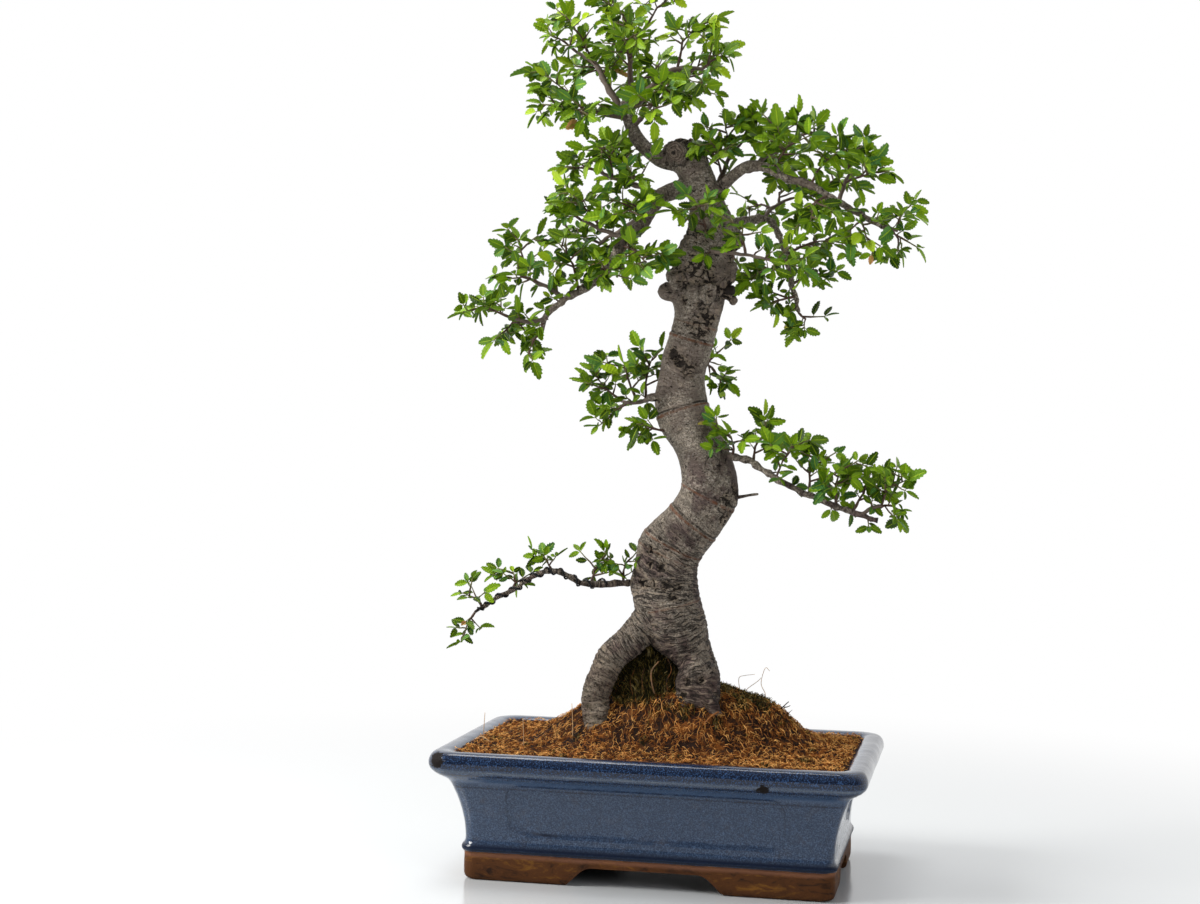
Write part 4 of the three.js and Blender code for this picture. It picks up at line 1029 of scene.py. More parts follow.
def coir_finish(soil, name):
    material, finish = new_finish(name)
    place = finish.place()
    tone, green, pale = finish.marks()
    grain = finish.grain(place, 1.6, 4, 0.65)
    clumps = finish.grain(place, 7, 3)
    level = tone + 0.6 * (grain - 0.5) + 0.75 * (clumps - 0.52)
    # the darkest stop, coir_dark, is painted shade of the hollows between fibres; the other stops are the
    # fibre's own tones
    coir = finish.ramp(level, [
        (0.2, soil.coir_dark), (0.4, tuple(0.45 * part for part in soil.coir_red)), (0.62, soil.coir_red),
        (0.92, soil.coir_tan)])
    # the dark end of the moss is partly the moss's own tone and partly painted shade of the same hollows
    mossy = finish.mix(tuple(0.15 * part for part in soil.moss_green), soil.moss_green, level.rise(0.25, 0.8))
    base = finish.coats(coir, (mossy, green.rise(0.2, 0.8) * 0.85), (soil.root_pale, pale))
    finish.surface(base, 0.75 + 0.2 * grain, 0.2, grain, 0.8)
    return material


def plain_finish(name, base, roughness, metallic, size):
    """A finish of one colour, rubbed lighter here and there."""
    material, finish = new_finish(name)
    rub = finish.grain(finish.place(), size, 4)
    tint = finish.mix(tuple(0.6 * part for part in base), base, rub.rise(0.3, 0.6))
    finish.end(finish.shader({
        "Base Color": tint, "Roughness": roughness + 0.15 * (rub - 0.5), "Metallic": metallic,
        "Normal": finish.bump(rub, 0.05)}))
    return material




def rounded_ring(inset, height, corner_steps=8, long_steps=132, short_steps=84):
    """A level ring round the pot: a rectangle with round corners."""
    half_x, half_y = POT_HALF[0] - inset, POT_HALF[1] - inset
    radius = CORNER_RADIUS - CORNER_SHRINK * inset
    ring = []
    for corner, (sign_x, sign_y) in enumerate(((1, 1), (-1, 1), (-1, -1), (1, -1))):
        middle = (sign_x * (half_x - radius), sign_y * (half_y - radius))
        for step in range(corner_steps + 1):
            angle = math.pi / 2 * (corner + step / corner_steps)
            ring.append((middle[0] + radius * math.cos(angle), middle[1] + radius * math.sin(angle), height))
        start = ring[-1]
        if corner % 2 == 0:
            end, steps = (-sign_x * (half_x - radius), sign_y * half_y, height), long_steps
        else:
            end, steps = (sign_x * half_x, -sign_y * (half_y - radius), height), short_steps
        ring += [tuple(blend(a, b, step / steps) for a, b in zip(start, end)) for step in range(1, steps)]
    return ring


def panel_sink(along_wall, height, half, depth):
    """How far the wall is sunk at a place on its panel."""
    out_x = abs(along_wall) - half + PANEL_RADIUS
    out_z = abs(height - sum(PANEL_HEIGHTS) / 2) - (PANEL_HEIGHTS[1] - PANEL_HEIGHTS[0]) / 2 + PANEL_RADIUS
    gap = math.hypot(max(out_x, 0), max(out_z, 0)) + min(max(out_x, out_z), 0) - PANEL_RADIUS
    return depth * float(smoothed(0.6, -1.4, gap))


def arch_prism(bottom, top, turned):
    """Points and faces of a block that cuts an arch right through the foot."""
    outline = [(-bottom - 1, -1), (bottom + 1, -1)]
    side = [(blend(bottom, top, 1 - ARCH_RADIUS / ARCH_HEIGHT), ARCH_HEIGHT - ARCH_RADIUS)]
    for step in range(1, 7):
        t = step / 6
        side.append((
            (1 - t) ** 2 * side[0][0] + 2 * t * (1 - t) * top + t * t * (top - ARCH_RADIUS),
            (1 - t) ** 2 * side[0][1] + (1 - (1 - t) ** 2) * ARCH_HEIGHT))
    outline += side + [(-x, z) for x, z in reversed(side)]
    reach = 2 * POT_HALF[0]
    points = [(reach * end, x, z) if turned else (x, -reach * end, z) for end in (-1, 1) for x, z in outline]
    return points, closed_faces(2, len(outline))


class BONSAI_OT_pot(bpy.types.Operator):
    """Builds the pot: its flared wall with a sunk panel in each side, rolled rim and arched foot"""

    bl_idname = "bonsai.make_pot"
    bl_label = "Pot"

    # How far the thrown wall strays from true, over how long a swell
    STRAY = 0.3
    SWELL = 38
    SHARP_ANGLE = 38

    def execute(self, context):
        pot = context.scene.bonsai_pot
        rings = [rounded_ring(FOOT_INSET, FLOOR_BOTTOM), rounded_ring(FOOT_INSET, 0)]
        rings += [self.wall_ring(*row, pot.panel_depth / MM) for row in smooth_rows(POT_OUTSIDE, 2)]
        rings += [rounded_ring(*row) for row in smooth_rows(POT_INSIDE, 2)]
        cutters = [arch_prism(*ARCHES[0], False), arch_prism(*ARCHES[1], True)]
        for x in (-DRAIN_AT, DRAIN_AT):
            cutters.append(tube([(x, 0, FLOOR_BOTTOM - 4), (x, 0, 40)], [DRAIN_RADIUS] * 2, 32))
        blocks = [bpy.data.objects.new("cutter", one_skin("cutter", *cutter)) for cutter in cutters]
        for block in blocks:
            context.scene.collection.objects.link(block)
        mesh = modified(ringed("pot_body", rings), *(
            ("BOOLEAN", {"object": block, "operation": "DIFFERENCE", "solver": "MANIFOLD"})
            for block in blocks))
        for block in blocks:
            bpy.data.objects.remove(block)
        mesh.set_sharp_from_angle(angle=math.radians(self.SHARP_ANGLE))
        mesh.materials.clear()
        place_piece("glazed_pot", mesh, [glaze_finish(pot)], ["pot"])
        return {"FINISHED"}

    def wall_ring(self, inset, height, depth):
        """A ring of the outside, with its panels sunk and its wall a little uneven."""
        ring = []
        for x, y, z in rounded_ring(inset, height):
            if abs(x) < POT_HALF[0] - inset - CORNER_RADIUS:
                y -= math.copysign(panel_sink(x, z, PANEL_HALF[0], depth), y)
            elif abs(y) < POT_HALF[1] - inset - CORNER_RADIUS:
                x -= math.copysign(panel_sink(y, z, PANEL_HALF[1], depth), x)
            stray = self.STRAY * (noise.noise(Vector((x, y, z)) / self.SWELL) - 1) * min(z / 20, 1)
            out = Vector((x, y, 0)).normalized() * stray
            ring.append((x + out.x, y + out.y, z))
        return ring


class BONSAI_OT_drainage(bpy.types.Operator):
    """Finishes the mesh squares over the drainage holes and the clips that hold them"""

    bl_idname = "bonsai.finish_drainage"
    bl_label = "Drainage"

    def execute(self, context):
        plastic = plain_finish("mesh_plastic", (0.02, 0.024, 0.022), 0.5, 0, 2)
        clip = plain_finish("clip_wire", (0.42, 0.42, 0.41), 0.35, 1, 1)
        for side in ("left", "right"):
            for name, material in ((f"drain_mesh_{side}", plastic), (f"mesh_clip_{side}", clip)):
                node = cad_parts[name]
                node.data.materials.clear()
                node.data.materials.append(material)
        return {"FINISHED"}


class BONSAI_OT_soil(bpy.types.Operator):
    """Builds the mound of fibre that fills the pot"""

    bl_idname = "bonsai.make_soil"
    bl_label = "Fibre mound"

    STEPS = 64

    def execute(self, context):
        outline = (*SOIL_INSIDE, (SOIL_INSET - 0.3, SOIL_EDGE - 2))
        rings = [rounded_ring(inset + 0.3, height, 6, 60, 36) for inset, height in outline]
        edge = rings[-1]
        for step in range(self.STEPS):
            share = 1 - step / self.STEPS
            ring = []
            for x, y, _ in edge:
                at = (blend(MOUND_AT[0], x, share), blend(MOUND_AT[1], y, share))
                pits = 2.6 * noise.noise(Vector((*at, 0)) / 4.5) + 1.4 * noise.noise(Vector((*at, 5)) / 1.9)
                ring.append((*at, ground_height(*at) - 1 + pits - 0.6 * max(share - 0.96, 0) / 0.04))
            rings.append(ring)
        # painted shade: the clump in the hollow between the legs gets the lowest tone, for the shadow in that
        # hollow
        marks = [(0.22 + dryness(x, y) if clump_height(x, y) < CLUMP_LOW else 0.05, mossiness(x, y), 0)
                 for ring in rings for x, y, _ in ring]
        material = coir_finish(context.scene.bonsai_soil, "packed_coir")
        place_piece("coir_mound", ringed("coir_mound", rings, marks), [material], ["soil"])
        return {"FINISHED"}


def dryness(x, y):
    """How much lighter, dry fibre shows than dark, damp fibre, from about -0.2 to 0.2."""
    broad = noise.noise(Vector((x / 17, y / 11, 33)))
    fine = noise.noise(Vector((x / 5, y / 3.5, 47)))
    return 0.24 * broad + 0.2 * fine + 0.05 * x / POT_HALF[0]


def mossiness(x, y):
    """How mossy the ground is, most near the trunk and between its roots."""
    if clump_height(x, y) > CLUMP_LOW:
        return 1.0
    away = min(math.hypot((x - 12) / 60, (y - 8) / 40), math.hypot((x - 68) / 34, (y - 12) / 34) + 0.25)
    patch = noise.noise(Vector((x / 13, y / 13, 21)))
    return float(smoothed(1.1, 0.35, away + 0.9 * patch)) + (0.5 if patch > 0.52 else 0)


def scatter(count, seed):
    """Seeded points over the ground."""
    draw = seeded_draws(seed)
    half = (POT_HALF[0] - SOIL_INSET - 0.8, POT_HALF[1] - SOIL_INSET - 0.8)
    for _ in range(count):
        yield blend(-half[0], half[0], draw()), blend(-half[1], half[1], draw()), draw


def on_clump(count, seed):
    """Seeded points over the clump between the legs."""
    draw = seeded_draws(seed)
    for _ in range(count):
        turn, away = ROUND * draw(), CLUMP[-1][0] * draw() ** 0.6
        yield CLUMP_AT[0] + away * math.cos(turn), CLUMP_AT[1] + CLUMP_DEPTH * away * math.sin(turn), draw


def strand(start, heading, reach, bend, lift, draw):
    """Points of a curled strand that lies on the ground."""
    points = []
    x, y = start
    for step in range(3):
        rise = lift * math.sin(math.pi * (step + 0.4) / 2.8)
        points.append(Vector((x, y, ground_height(x, y) + rise)))
        x += math.cos(heading) * reach / 2
        y += math.sin(heading) * reach / 2
        heading += bend * (0.6 + 0.8 * draw())
    return points


class BONSAI_OT_fibres(bpy.types.Operator):
    """Lays loose curled fibres over the mound, with a few fine roots and straws"""

    bl_idname = "bonsai.make_fibres"
    bl_label = "Loose fibres"

    SEED = 4711
    # Single strands as points, radius, tone and how pale
    STRAYS = (
        ([(53.4, 16, 132), (52.7, 16, 141.8), (57.2, 16, 143.9), (64.8, 14, 145.3)], 0.26, 0.8, 0.6),
        ([(57.5, 16, 131), (59.4, 16, 134.2), (67.1, 16, 140.2), (69.3, 15, 142.8)], 0.3, 0.8, 0.6),
        ([(73.5, 12, 126), (73, 12, 131.9), (69.9, 12, 139.3), (72.9, 12, 150.6), (76.3, 12, 148.5)],
         0.3, 0.8, 0.6),
        ([(80, 12, 112), (85, 12, 120.1), (87.4, 12, 122.9), (90.9, 12, 126.3)], 0.6, 0, 0),
        ([(87, 12, 122), (89.6, 12, 122.2), (92.1, 12, 123.4)], 0.45, 0, 0),
        ([(-132.4, -30, 92), (-132.4, -30, 100.7), (-131.7, -30, 113.8)], 0.35, 0.8, 0.55),
        ([(-97.9, -45, 92), (-97.9, -45, 100.3), (-98.6, -45, 113.3)], 0.4, 0.8, 0.55),
        ([(-62.1, -40, 96), (-62.1, -40, 109.2), (-63, -40, 124.9)], 0.4, 0.8, 0.55),
        ([(-136.1, -40, 95), (-131, -41, 97.5), (-123.7, -42, 94)], 0.6, 0.8, 0.5),
        ([(-5, -20, 132), (-7, -21, 140), (-7.5, -20, 149), (-2.5, -18, 156)], 0.6, 0.4, 0.25),
        ([(5, -20, 134), (4, -20, 142), (7, -18, 150), (3, -13, 158)], 0.35, 0.3, 0.05),
        ([(-14, -14, 150), (-15, -18, 142), (-13, -21, 133)], 0.3, 0.3, 0.05),
        ([(-22, -12, 148), (-24, -17, 140), (-21, -22, 131)], 0.3, 0.35, 0.05),
        ([(44, -28, 122), (39, -34, 119), (34, -38, 113)], 0.8, 0.5, 0.1),
        ([(60, 2, 126), (67, -6, 122), (76, -10, 112)], 0.6, 0.5, 0.1),
    )

    def execute(self, context):
        soil = context.scene.bonsai_soil
        draft = Draft()
        usual = soil.fibre_length / MM
        for x, y, draw in scatter(soil.fibre_count, self.SEED):
            heading, reach = ROUND * draw(), usual * blend(0.28, 0.92, draw())
            bend = 3.6 * (draw() - 0.5)
            lift, tone, radius = 3 * draw() ** 2, draw() ** 1.4, blend(0.12, 0.3, draw())
            points = strand((x, y), heading, reach, bend, lift, draw)
            if near_trunk(points[0], 0) or not on_soil(points[-1]):
                continue
            mossy = mossiness(x, y) * (0.4 + 0.6 * draw())
            tone = 0.1 + lift / 8 + 0.76 * tone + dryness(x, y)
            draft.add(*tube(points, [radius, radius, 0.5 * radius], 3), (tone, mossy, 0))
        for points, radius, tone, pale in self.STRAYS:
            path = smooth_rows(points, 4)
            draft.add(*tube(path, np.linspace(radius, 0.6 * radius, len(path)), 5), (tone, 0, pale))
        material = coir_finish(soil, "loose_coir")
        place_piece("coir_fibres", draft.mesh("coir_fibres"), [material])
        return {"FINISHED"}


def on_soil(point):
    return abs(point.x) < POT_HALF[0] - SOIL_INSET + 1 and abs(point.y) < POT_HALF[1] - SOIL_INSET + 0.6


class BONSAI_OT_moss(bpy.types.Operator):
    """Sets small tufts of moss near the trunk and between its roots"""

    bl_idname = "bonsai.make_moss"
    bl_label = "Moss"

    SEED = 977
    CLUMP_SEED = 31

    def execute(self, context):
        soil = context.scene.bonsai_soil
        draft = Draft()
        places = [*scatter(soil.moss_count * 10, self.SEED), *on_clump(soil.moss_count, self.CLUMP_SEED)]
        for x, y, draw in places:
            lean, turn, tall, tone = draw(), ROUND * draw(), blend(1.6, 4.2, draw()), draw() ** 1.5
            if mossiness(x, y) < 0.15 + 0.6 * draw():
                continue
            foot = Vector((x, y, ground_height(x, y) - 0.6))
            if near_trunk(foot, 0):
                continue
            out = Vector((math.cos(turn), math.sin(turn), 0)) * lean * tall
            if clump_height(x, y) > CLUMP_LOW:
                lump = noise.noise(Vector((x, y, foot.z)) / 5)
                # on the clump the tufts are darker, as painted shade of the hollow between the legs, and
                # uneven with the lumps
                tone = tone ** 1.3 + 0.6 * lump - 0.12
                tall *= 1.2 + 1.2 * lump
                out += Vector((x - CLUMP_AT[0], y - CLUMP_AT[1], 0)).normalized() * tall * 0.8
            points = [foot, foot + out * 0.4 + UP * tall * 0.6, foot + out + UP * tall]
            pale = 0.3 * smoothed(0.75, 1, tone)
            draft.add(*tube(points, [0.4, 0.34, 0.12], 3), (0.15 + 0.8 * tone, 1, float(pale)))
        material = coir_finish(soil, "moss_tufts")
        place_piece("moss_tufts", draft.mesh("moss_tufts"), [material])
        return {"FINISHED"}


def wood_axes():
    """Sampled middle lines of the trunk and limbs: point, radius, way along and its length."""
    lines = [smooth_rows(TRUNK, 6)[:, :4]]
    for limb in LIMBS:
        points, radii = limb_path(limb, 4)
        lines.append(np.array([(*point, radius) for point, radius in zip(points, radii)]))
    samples = []
    for offset, line in enumerate(lines):
        steps = np.diff(line[:, :3], axis=0)
        lengths = np.linalg.norm(steps, axis=1)
        runs = np.concatenate([[0], np.cumsum(lengths)]) + 700 * offset
        headings = np.vstack([steps, steps[-1:]]) / np.append(lengths, lengths[-1])[:, None]
        samples.append(np.hstack([line, headings, runs[:, None]]))
    return np.vstack(samples)


def bark_marks(points):
    """For each point of the wood: its way along the limb, how cracked it is, and ring scars."""
    axes = wood_axes()
    trunk = smooth_rows(TRUNK, 6)
    nearest = np.empty(len(points), int)
    for start in range(0, len(points), 4000):
        part = points[start:start + 4000]
        gaps = np.linalg.norm(part[:, None] - axes[None, :, :3], axis=2) / np.sqrt(axes[None, :, 3])
        nearest[start:start + 4000] = gaps.argmin(1)
    on_trunk = nearest < len(trunk)
    run = axes[nearest, 7] + ((points - axes[nearest, :3]) * axes[nearest, 4:7]).sum(1)
    cracked = np.zeros(len(points))
    for *middle, size in (*CRACKED, *BURLS):
        gap = np.linalg.norm(points - middle, axis=1) / size
        cracked = np.maximum(cracked, smoothed(1.3, 0.3, gap))
    scar = np.zeros(len(points))
    for height, depth in RING_SCARS:
        at = axes[np.abs(trunk[:, 2] - height).argmin(), 7]
        gap = run - at
        scar += on_trunk * depth * (np.exp(-((gap - 1.2) / 1.1) ** 2) - np.exp(-((gap + 0.8) / 0.9) ** 2))
    return run, cracked, scar


def bent_path(points):
    """A thin limb's middle line with the small bends that its buds leave."""
    return [point + noise.noise_vector(point / 9) * 1.6 for point in points]


class BONSAI_OT_wood(bpy.types.Operator):
    """Builds the trunk with its roots, limbs, burls and the marks in its bark"""

    bl_idname = "bonsai.make_wood"
    bl_label = "Trunk and limbs"

    TRUNK_SIDES = 28
    LIMB_SIDES = 16
    # Heights and widths of a knob's rings, as shares of its half sizes
    KNOB_FORM = ((-1, 0.3), (-0.7, 0.75), (0, 1), (0.7, 0.75), (1, 0.3))

    def execute(self, context):
        wood = context.scene.bonsai_wood
        core, slim = Draft(), Draft()
        core.add(*self.trunk())
        for limb in LIMBS:
            points, radii = limb_path(limb, 8)
            thick = sum(radius > THIN_LIMB for radius in radii)
            if thick > 3:
                core.add(*tube(points[:thick], radii[:thick], self.LIMB_SIDES))
            if thick < len(points):
                start = max(thick - 8, 0)
                gnarled = [
                    radius * (1 + 0.45 * noise.noise(point / 3.5)) for point, radius in zip(points, radii)]
                slim.add(*tube(bent_path(points)[start:], gnarled[start:], 10))
        for path, radii in FLARES:
            bend = smooth_rows(path, 4)
            core.add(*tube(bend, np.linspace(*radii, len(bend)), 12))
        for middle, (half_x, _, half_z) in (*KNOBS, *SMALL_KNOBS):
            knob = [Vector(middle) + UP * end * half_z for end, _ in self.KNOB_FORM]
            core.add(*tube(knob, [width * half_x for _, width in self.KNOB_FORM], 14))
        skin = modified(core.mesh("core"), ("REMESH", {"mode": "VOXEL", "voxel_size": wood.skin_size}),
                        ("SMOOTH", {"factor": 0.6, "iterations": 7}))
        slim_mesh = slim.mesh("slim_limbs")
        self.write_marks(slim_mesh, *bark_marks(self.points_of(slim_mesh)))
        material = bark_finish(wood)
        place_piece("elm_trunk", self.carved(skin), [material], ["tree_wood"])
        place_piece("elm_limbs", slim_mesh, [material], ["tree_wood"])
        return {"FINISHED"}

    def trunk(self):
        """Points and faces of the trunk, whose sections bulge unevenly."""
        sides = self.TRUNK_SIDES
        rows = smooth_rows([(*row, index) for index, row in enumerate(TRUNK)], 4)
        points = []
        for x, y, z, half_width, half_depth, index in rows:
            for step in range(sides):
                angle = 2 * math.pi * step / sides
                lobe = 1 + TRUNK_LOBE * math.sin(3 * angle + 0.9 * index) * math.sin(angle) ** 2
                points.append((
                    x + half_width * lobe * math.cos(angle), y + half_depth * lobe * math.sin(angle), z))
        return points, [tuple(reversed(face)) for face in closed_faces(len(rows), sides)]

    @staticmethod
    def points_of(mesh):
        """The points of a mesh in millimetres."""
        points = np.empty(len(mesh.vertices) * 3, np.float32)
        mesh.vertices.foreach_get("co", points)
        return (points.reshape(-1, 3) - np.array(MIDDLE)) / MM

    @staticmethod
    def write_marks(mesh, run, cracked, scar):
        if "marks" in mesh.attributes:
            mesh.attributes.remove(mesh.attributes["marks"])
        marks = mesh.attributes.new("marks", "FLOAT_VECTOR", "POINT")
        marks.data.foreach_set("vector", np.stack([run * MM, cracked, scar], 1).astype(np.float32).ravel())

    def carved(self, mesh):
        """Pushes the skin in and out: folds near the base, cracked plates, callused knots, rings."""
        points = self.points_of(mesh)
        run, cracked, scar = bark_marks(points)
        normals = np.empty(len(mesh.vertices) * 3, np.float32)
        mesh.vertex_normals.foreach_get("vector", normals)
        push = 0.45 * scar
        low = smoothed(262, 205, points[:, 2])
        tilted = run - 0.22 * points[:, 0]
        for index, (point, way, torn, fold) in enumerate(zip(points, tilted, cracked, low)):
            place = Vector(point)
            x, y = place.xy
            push[index] += (
                0.8 * noise.noise(place / 17) + 0.2 * noise.noise(place / 1.8)
                + (0.15 + 0.6 * fold) * noise.noise(Vector((x / 12, y / 12, way / 1.8)))
                + 0.3 * fold * noise.noise(Vector((x / 6, y / 6, way / 1.1))))
            if torn > 0.03:
                near, far = noise.voronoi((place + noise.noise_vector(place / 7) * 4) / 7)[0][:2]
                crevice = float(smoothed(0.3, 0.03, far - near))
                push[index] += torn * (2.2 * noise.turbulence(place / 9, 3, False) - 1.1 - 1.9 * crevice)
                cracked[index] = torn * (0.45 + 0.55 * crevice)
        for middle, ring, ridge, pit in KNOTS:
            gap = np.linalg.norm(points - middle, axis=1)
            for index in np.nonzero(gap < 2.2 * ring)[0]:
                reach = (gap[index] + (0.6 + 0.2 * ring) * noise.noise(Vector(points[index]) / 4)) / ring
                lip = math.exp(-((reach - 0.95) / 0.26) ** 2)
                hollow = float(smoothed(0.85, 0.3, reach))
                rind = math.exp(-((reach - 1.4) / 0.16) ** 2)
                push[index] += ridge * lip - pit * hollow - 0.35 * rind + 0.2 * math.cos(6.283 * reach * 1.8)
                scar[index] -= 0.75 * rind + 0.3 * hollow
                cracked[index] = max(cracked[index], 0.6 * hollow, 0.3 * lip)
        moved = points + normals.reshape(-1, 3) * push[:, None]
        mesh.vertices.foreach_set("co", (moved * MM + np.array(MIDDLE)).astype(np.float32).ravel())
        self.write_marks(mesh, run, cracked, scar)
        mesh.shade_smooth()
        mesh.update()
        return mesh


class BONSAI_OT_wire(bpy.types.Operator):
    """Winds the training wire round the low left limb"""

    bl_idname = "bonsai.make_wire"
    bl_label = "Training wire"

    RADIUS = 0.75
    PITCH = 11
    SPAN = (0.2, 0.97)
    STEPS_A_TURN = 14

    def execute(self, context):
        points = bent_path(limb_path("wired", 8)[0])
        turns = path_length(points) * (self.SPAN[1] - self.SPAN[0]) / self.PITCH
        count = int(turns * self.STEPS_A_TURN)
        path = []
        for step in range(count + 1):
            share = blend(*self.SPAN, step / count)
            point, heading = along(points, share)
            level = UP.cross(heading).normalized()
            above = heading.cross(level)
            angle = 2 * math.pi * turns * step / count
            near = smoothed(0.35, 0.2, share) * (1 + math.sin(9 * share * angle)) * 0.8
            away = blend(*LIMBS["wired"][0], share) + self.RADIUS + near
            path.append(point + level * away * math.cos(angle) + above * away * math.sin(angle))
        mesh = one_skin("wound_wire", *tube(path, [self.RADIUS] * len(path), 8))
        wire = plain_finish("dark_wire", context.scene.bonsai_wood.wire_black, 0.42, 0.7, 3)
        place_piece("wound_wire", mesh, [wire], ["training_wire"])
        return {"FINISHED"}


def leaf_form():
    """A leaf of unit length: place along, place across, rise of each point, and its faces.

    Three columns make the upper face, and the lower one has its own midrib. The edge is cut
    into forward-leaning teeth, and the blade starts a little way up the stalk.
    """
    rows = 2 * LEAF_TEETH + 1
    grid = []
    for row in range(rows):
        share = row / (rows - 1)
        width = max(2.05 * share ** 0.62 * (1 - share) ** 0.72, 0.02)
        tooth, lean = (1.12, 0.035) if row % 2 else (0.88, -0.02)
        for column in (-1, 0, 1):
            run = 0.09 + 0.91 * share + lean * (column != 0 and 0 < share < 1)
            grid.append((run, column * width * tooth, 0.3 * abs(column) * width, column, share))
    under = [(0.09 + 0.91 * row / (rows - 1), 0, -1, 0, row / (rows - 1)) for row in range(rows)]
    upper, lower = [], []
    for row in range(rows - 1):
        a, b, c = 3 * row, 3 * (row + 1), 3 * rows + row
        upper += [(a, a + 1, b + 1, b), (a + 1, a + 2, b + 2, b + 1)]
        lower += [(a, b, c + 1, c), (c, c + 1, b + 2, a + 2)]
    return np.array(grid + under), upper, lower


class BONSAI_OT_foliage(bpy.types.Operator):
    """Grows every spray: its twigs as one piece and its leaves as another"""

    bl_idname = "bonsai.make_foliage"
    bl_label = "Leaves and twigs"

    def execute(self, context):
        foliage = context.scene.bonsai_foliage
        twig = twig_finish(foliage, context.scene.bonsai_wood)
        upper, under = leaf_finish(foliage, True), leaf_finish(foliage, False)
        self.foliage = foliage
        self.form, self.upper_faces, self.lower_faces = leaf_form()
        self.low, self.high = (np.array(corner - MIDDLE) / MM for corner in CAD_BOX)
        for index, (name, branchlet, grown) in enumerate(plan_sprays()):
            self.start_spray(31 * index + 7, 0.8 if name.startswith("wired") else 1)
            if branchlet:
                rows = smooth_rows([(*point, 0) for point in branchlet[0]], 6)
                points = [Vector(row[:3]) + noise.noise_vector(Vector(row[:3]) / 8) * 1.2 for row in rows]
                radii = [blend(*branchlet[1], step / (len(points) - 1)) * (1 + 0.4 * noise.noise(point / 3))
                         for step, point in enumerate(points)]
                self.woody.add(*tube(points, radii, 7), (1, 1, 0))
                self.add_spurs(points, 0.15)
            for stem, clusters, twigs in grown:
                self.add_twig(stem, SHOOT_RADII, 0.75, clusters)
                self.add_side_twigs(stem, 2)
                for points, twig_clusters in twigs:
                    self.add_twig(points, TWIG_RADII, 0.45, twig_clusters)
                    self.add_side_twigs(points, self.draw() < foliage.fullness)
            self.place_spray(name, twig, (upper, under), [f"spray_{name}"])
        self.start_spray(5, 0.9)
        for limb in ("left", "right", "drop", "low"):
            self.add_spurs(limb_path(limb, 4)[0], 0.34)
        self.place_spray("along_limbs", twig, (upper, under), [])
        return {"FINISHED"}

    def start_spray(self, seed, size):
        self.draw = seeded_draws(seed)
        self.woody, self.leafy = Draft(), Draft()
        self.size = size * self.foliage.leaf_length / MM

    def place_spray(self, name, twig, faces, replaced):
        place_piece(f"twigs_{name}", self.woody.mesh(f"twigs_{name}"), [twig], replaced)
        blades = self.leafy.mesh(f"leaves_{name}")
        blades.set_sharp_from_angle(angle=math.radians(14))
        place_piece(f"leaves_{name}", blades, faces, replaced)

    def add_spurs(self, points, first_at):
        """Short spurs with a few leaves, on all sides of a limb."""
        count = int(path_length(points) * (1 - first_at) / self.foliage.spur_spacing * MM)
        for step in range(count):
            point, heading = along(points, blend(first_at, 0.98, (step + self.draw()) / count))
            out = Vector((self.draw() - 0.5, self.draw() - 0.5, self.draw() - 0.35))
            out = (out - heading * out.dot(heading)).normalized() + heading * 0.5
            tip = point + out.normalized() * blend(5, 10, self.draw())
            self.add_twig([point, tip], (0.7, 0.4), 0.5, leaves_along([point, tip], 0.4, self.draw))

    def add_side_twigs(self, points, count):
        """Twiglets between the main ones of a spray."""
        for step in range(count):
            base, heading = along(points, blend(0.2, 0.85, (step + self.draw()) / count))
            spread, roll = blend(0.8, 1.4, self.draw()), ROUND * self.draw()
            side = heading.cross(UP).normalized()
            across = side * math.cos(roll) + side.cross(heading) * math.sin(roll)
            tip = base + (heading * math.cos(spread) + across * math.sin(spread)) * blend(6, 11, self.draw())
            self.add_twig([base, tip], (0.55, 0.38), 0.3, leaves_along([base, tip], 0.3, self.draw))

    def add_twig(self, points, radii, age, clusters):
        """A thin tube with a slight kink at each bud, and the leaves on it."""
        count = 3 * (len(points) - 1)
        path, widths = [], []
        for step in range(count + 1):
            share = step / count
            point = along(points, share)[0] if share < 1 else points[-1]
            path.append(point + jitter(self.draw) * 0.9 * (0 < step < count))
            widths.append(blend(*radii, share) * (1.15 if step % 2 else 0.9))
        shell, faces = tube(path, widths, 4)
        marks = [(blend(age, 0.1, index // 4 / count), 1, 0) for index in range(len(shell))]
        self.woody.add(shell, faces, marks)
        for cluster in clusters:
            self.add_leaves(cluster, cluster is clusters[-1])

    def add_leaves(self, cluster, at_tip):
        """The stalked, toothed blades of one bud."""
        point, level, leaves = cluster
        for rank, (direction, share) in enumerate(leaves):
            cup, droop, twist, pitch = (self.draw() for _ in range(4))
            terminal = at_tip and rank == len(leaves) // 2
            size = self.size * share ** 1.4 * (1.18 if terminal else 1)
            shade = -0.08 + 0.6 * self.draw() + (0.28 if at_tip else 0) + (0.14 if terminal else 0)
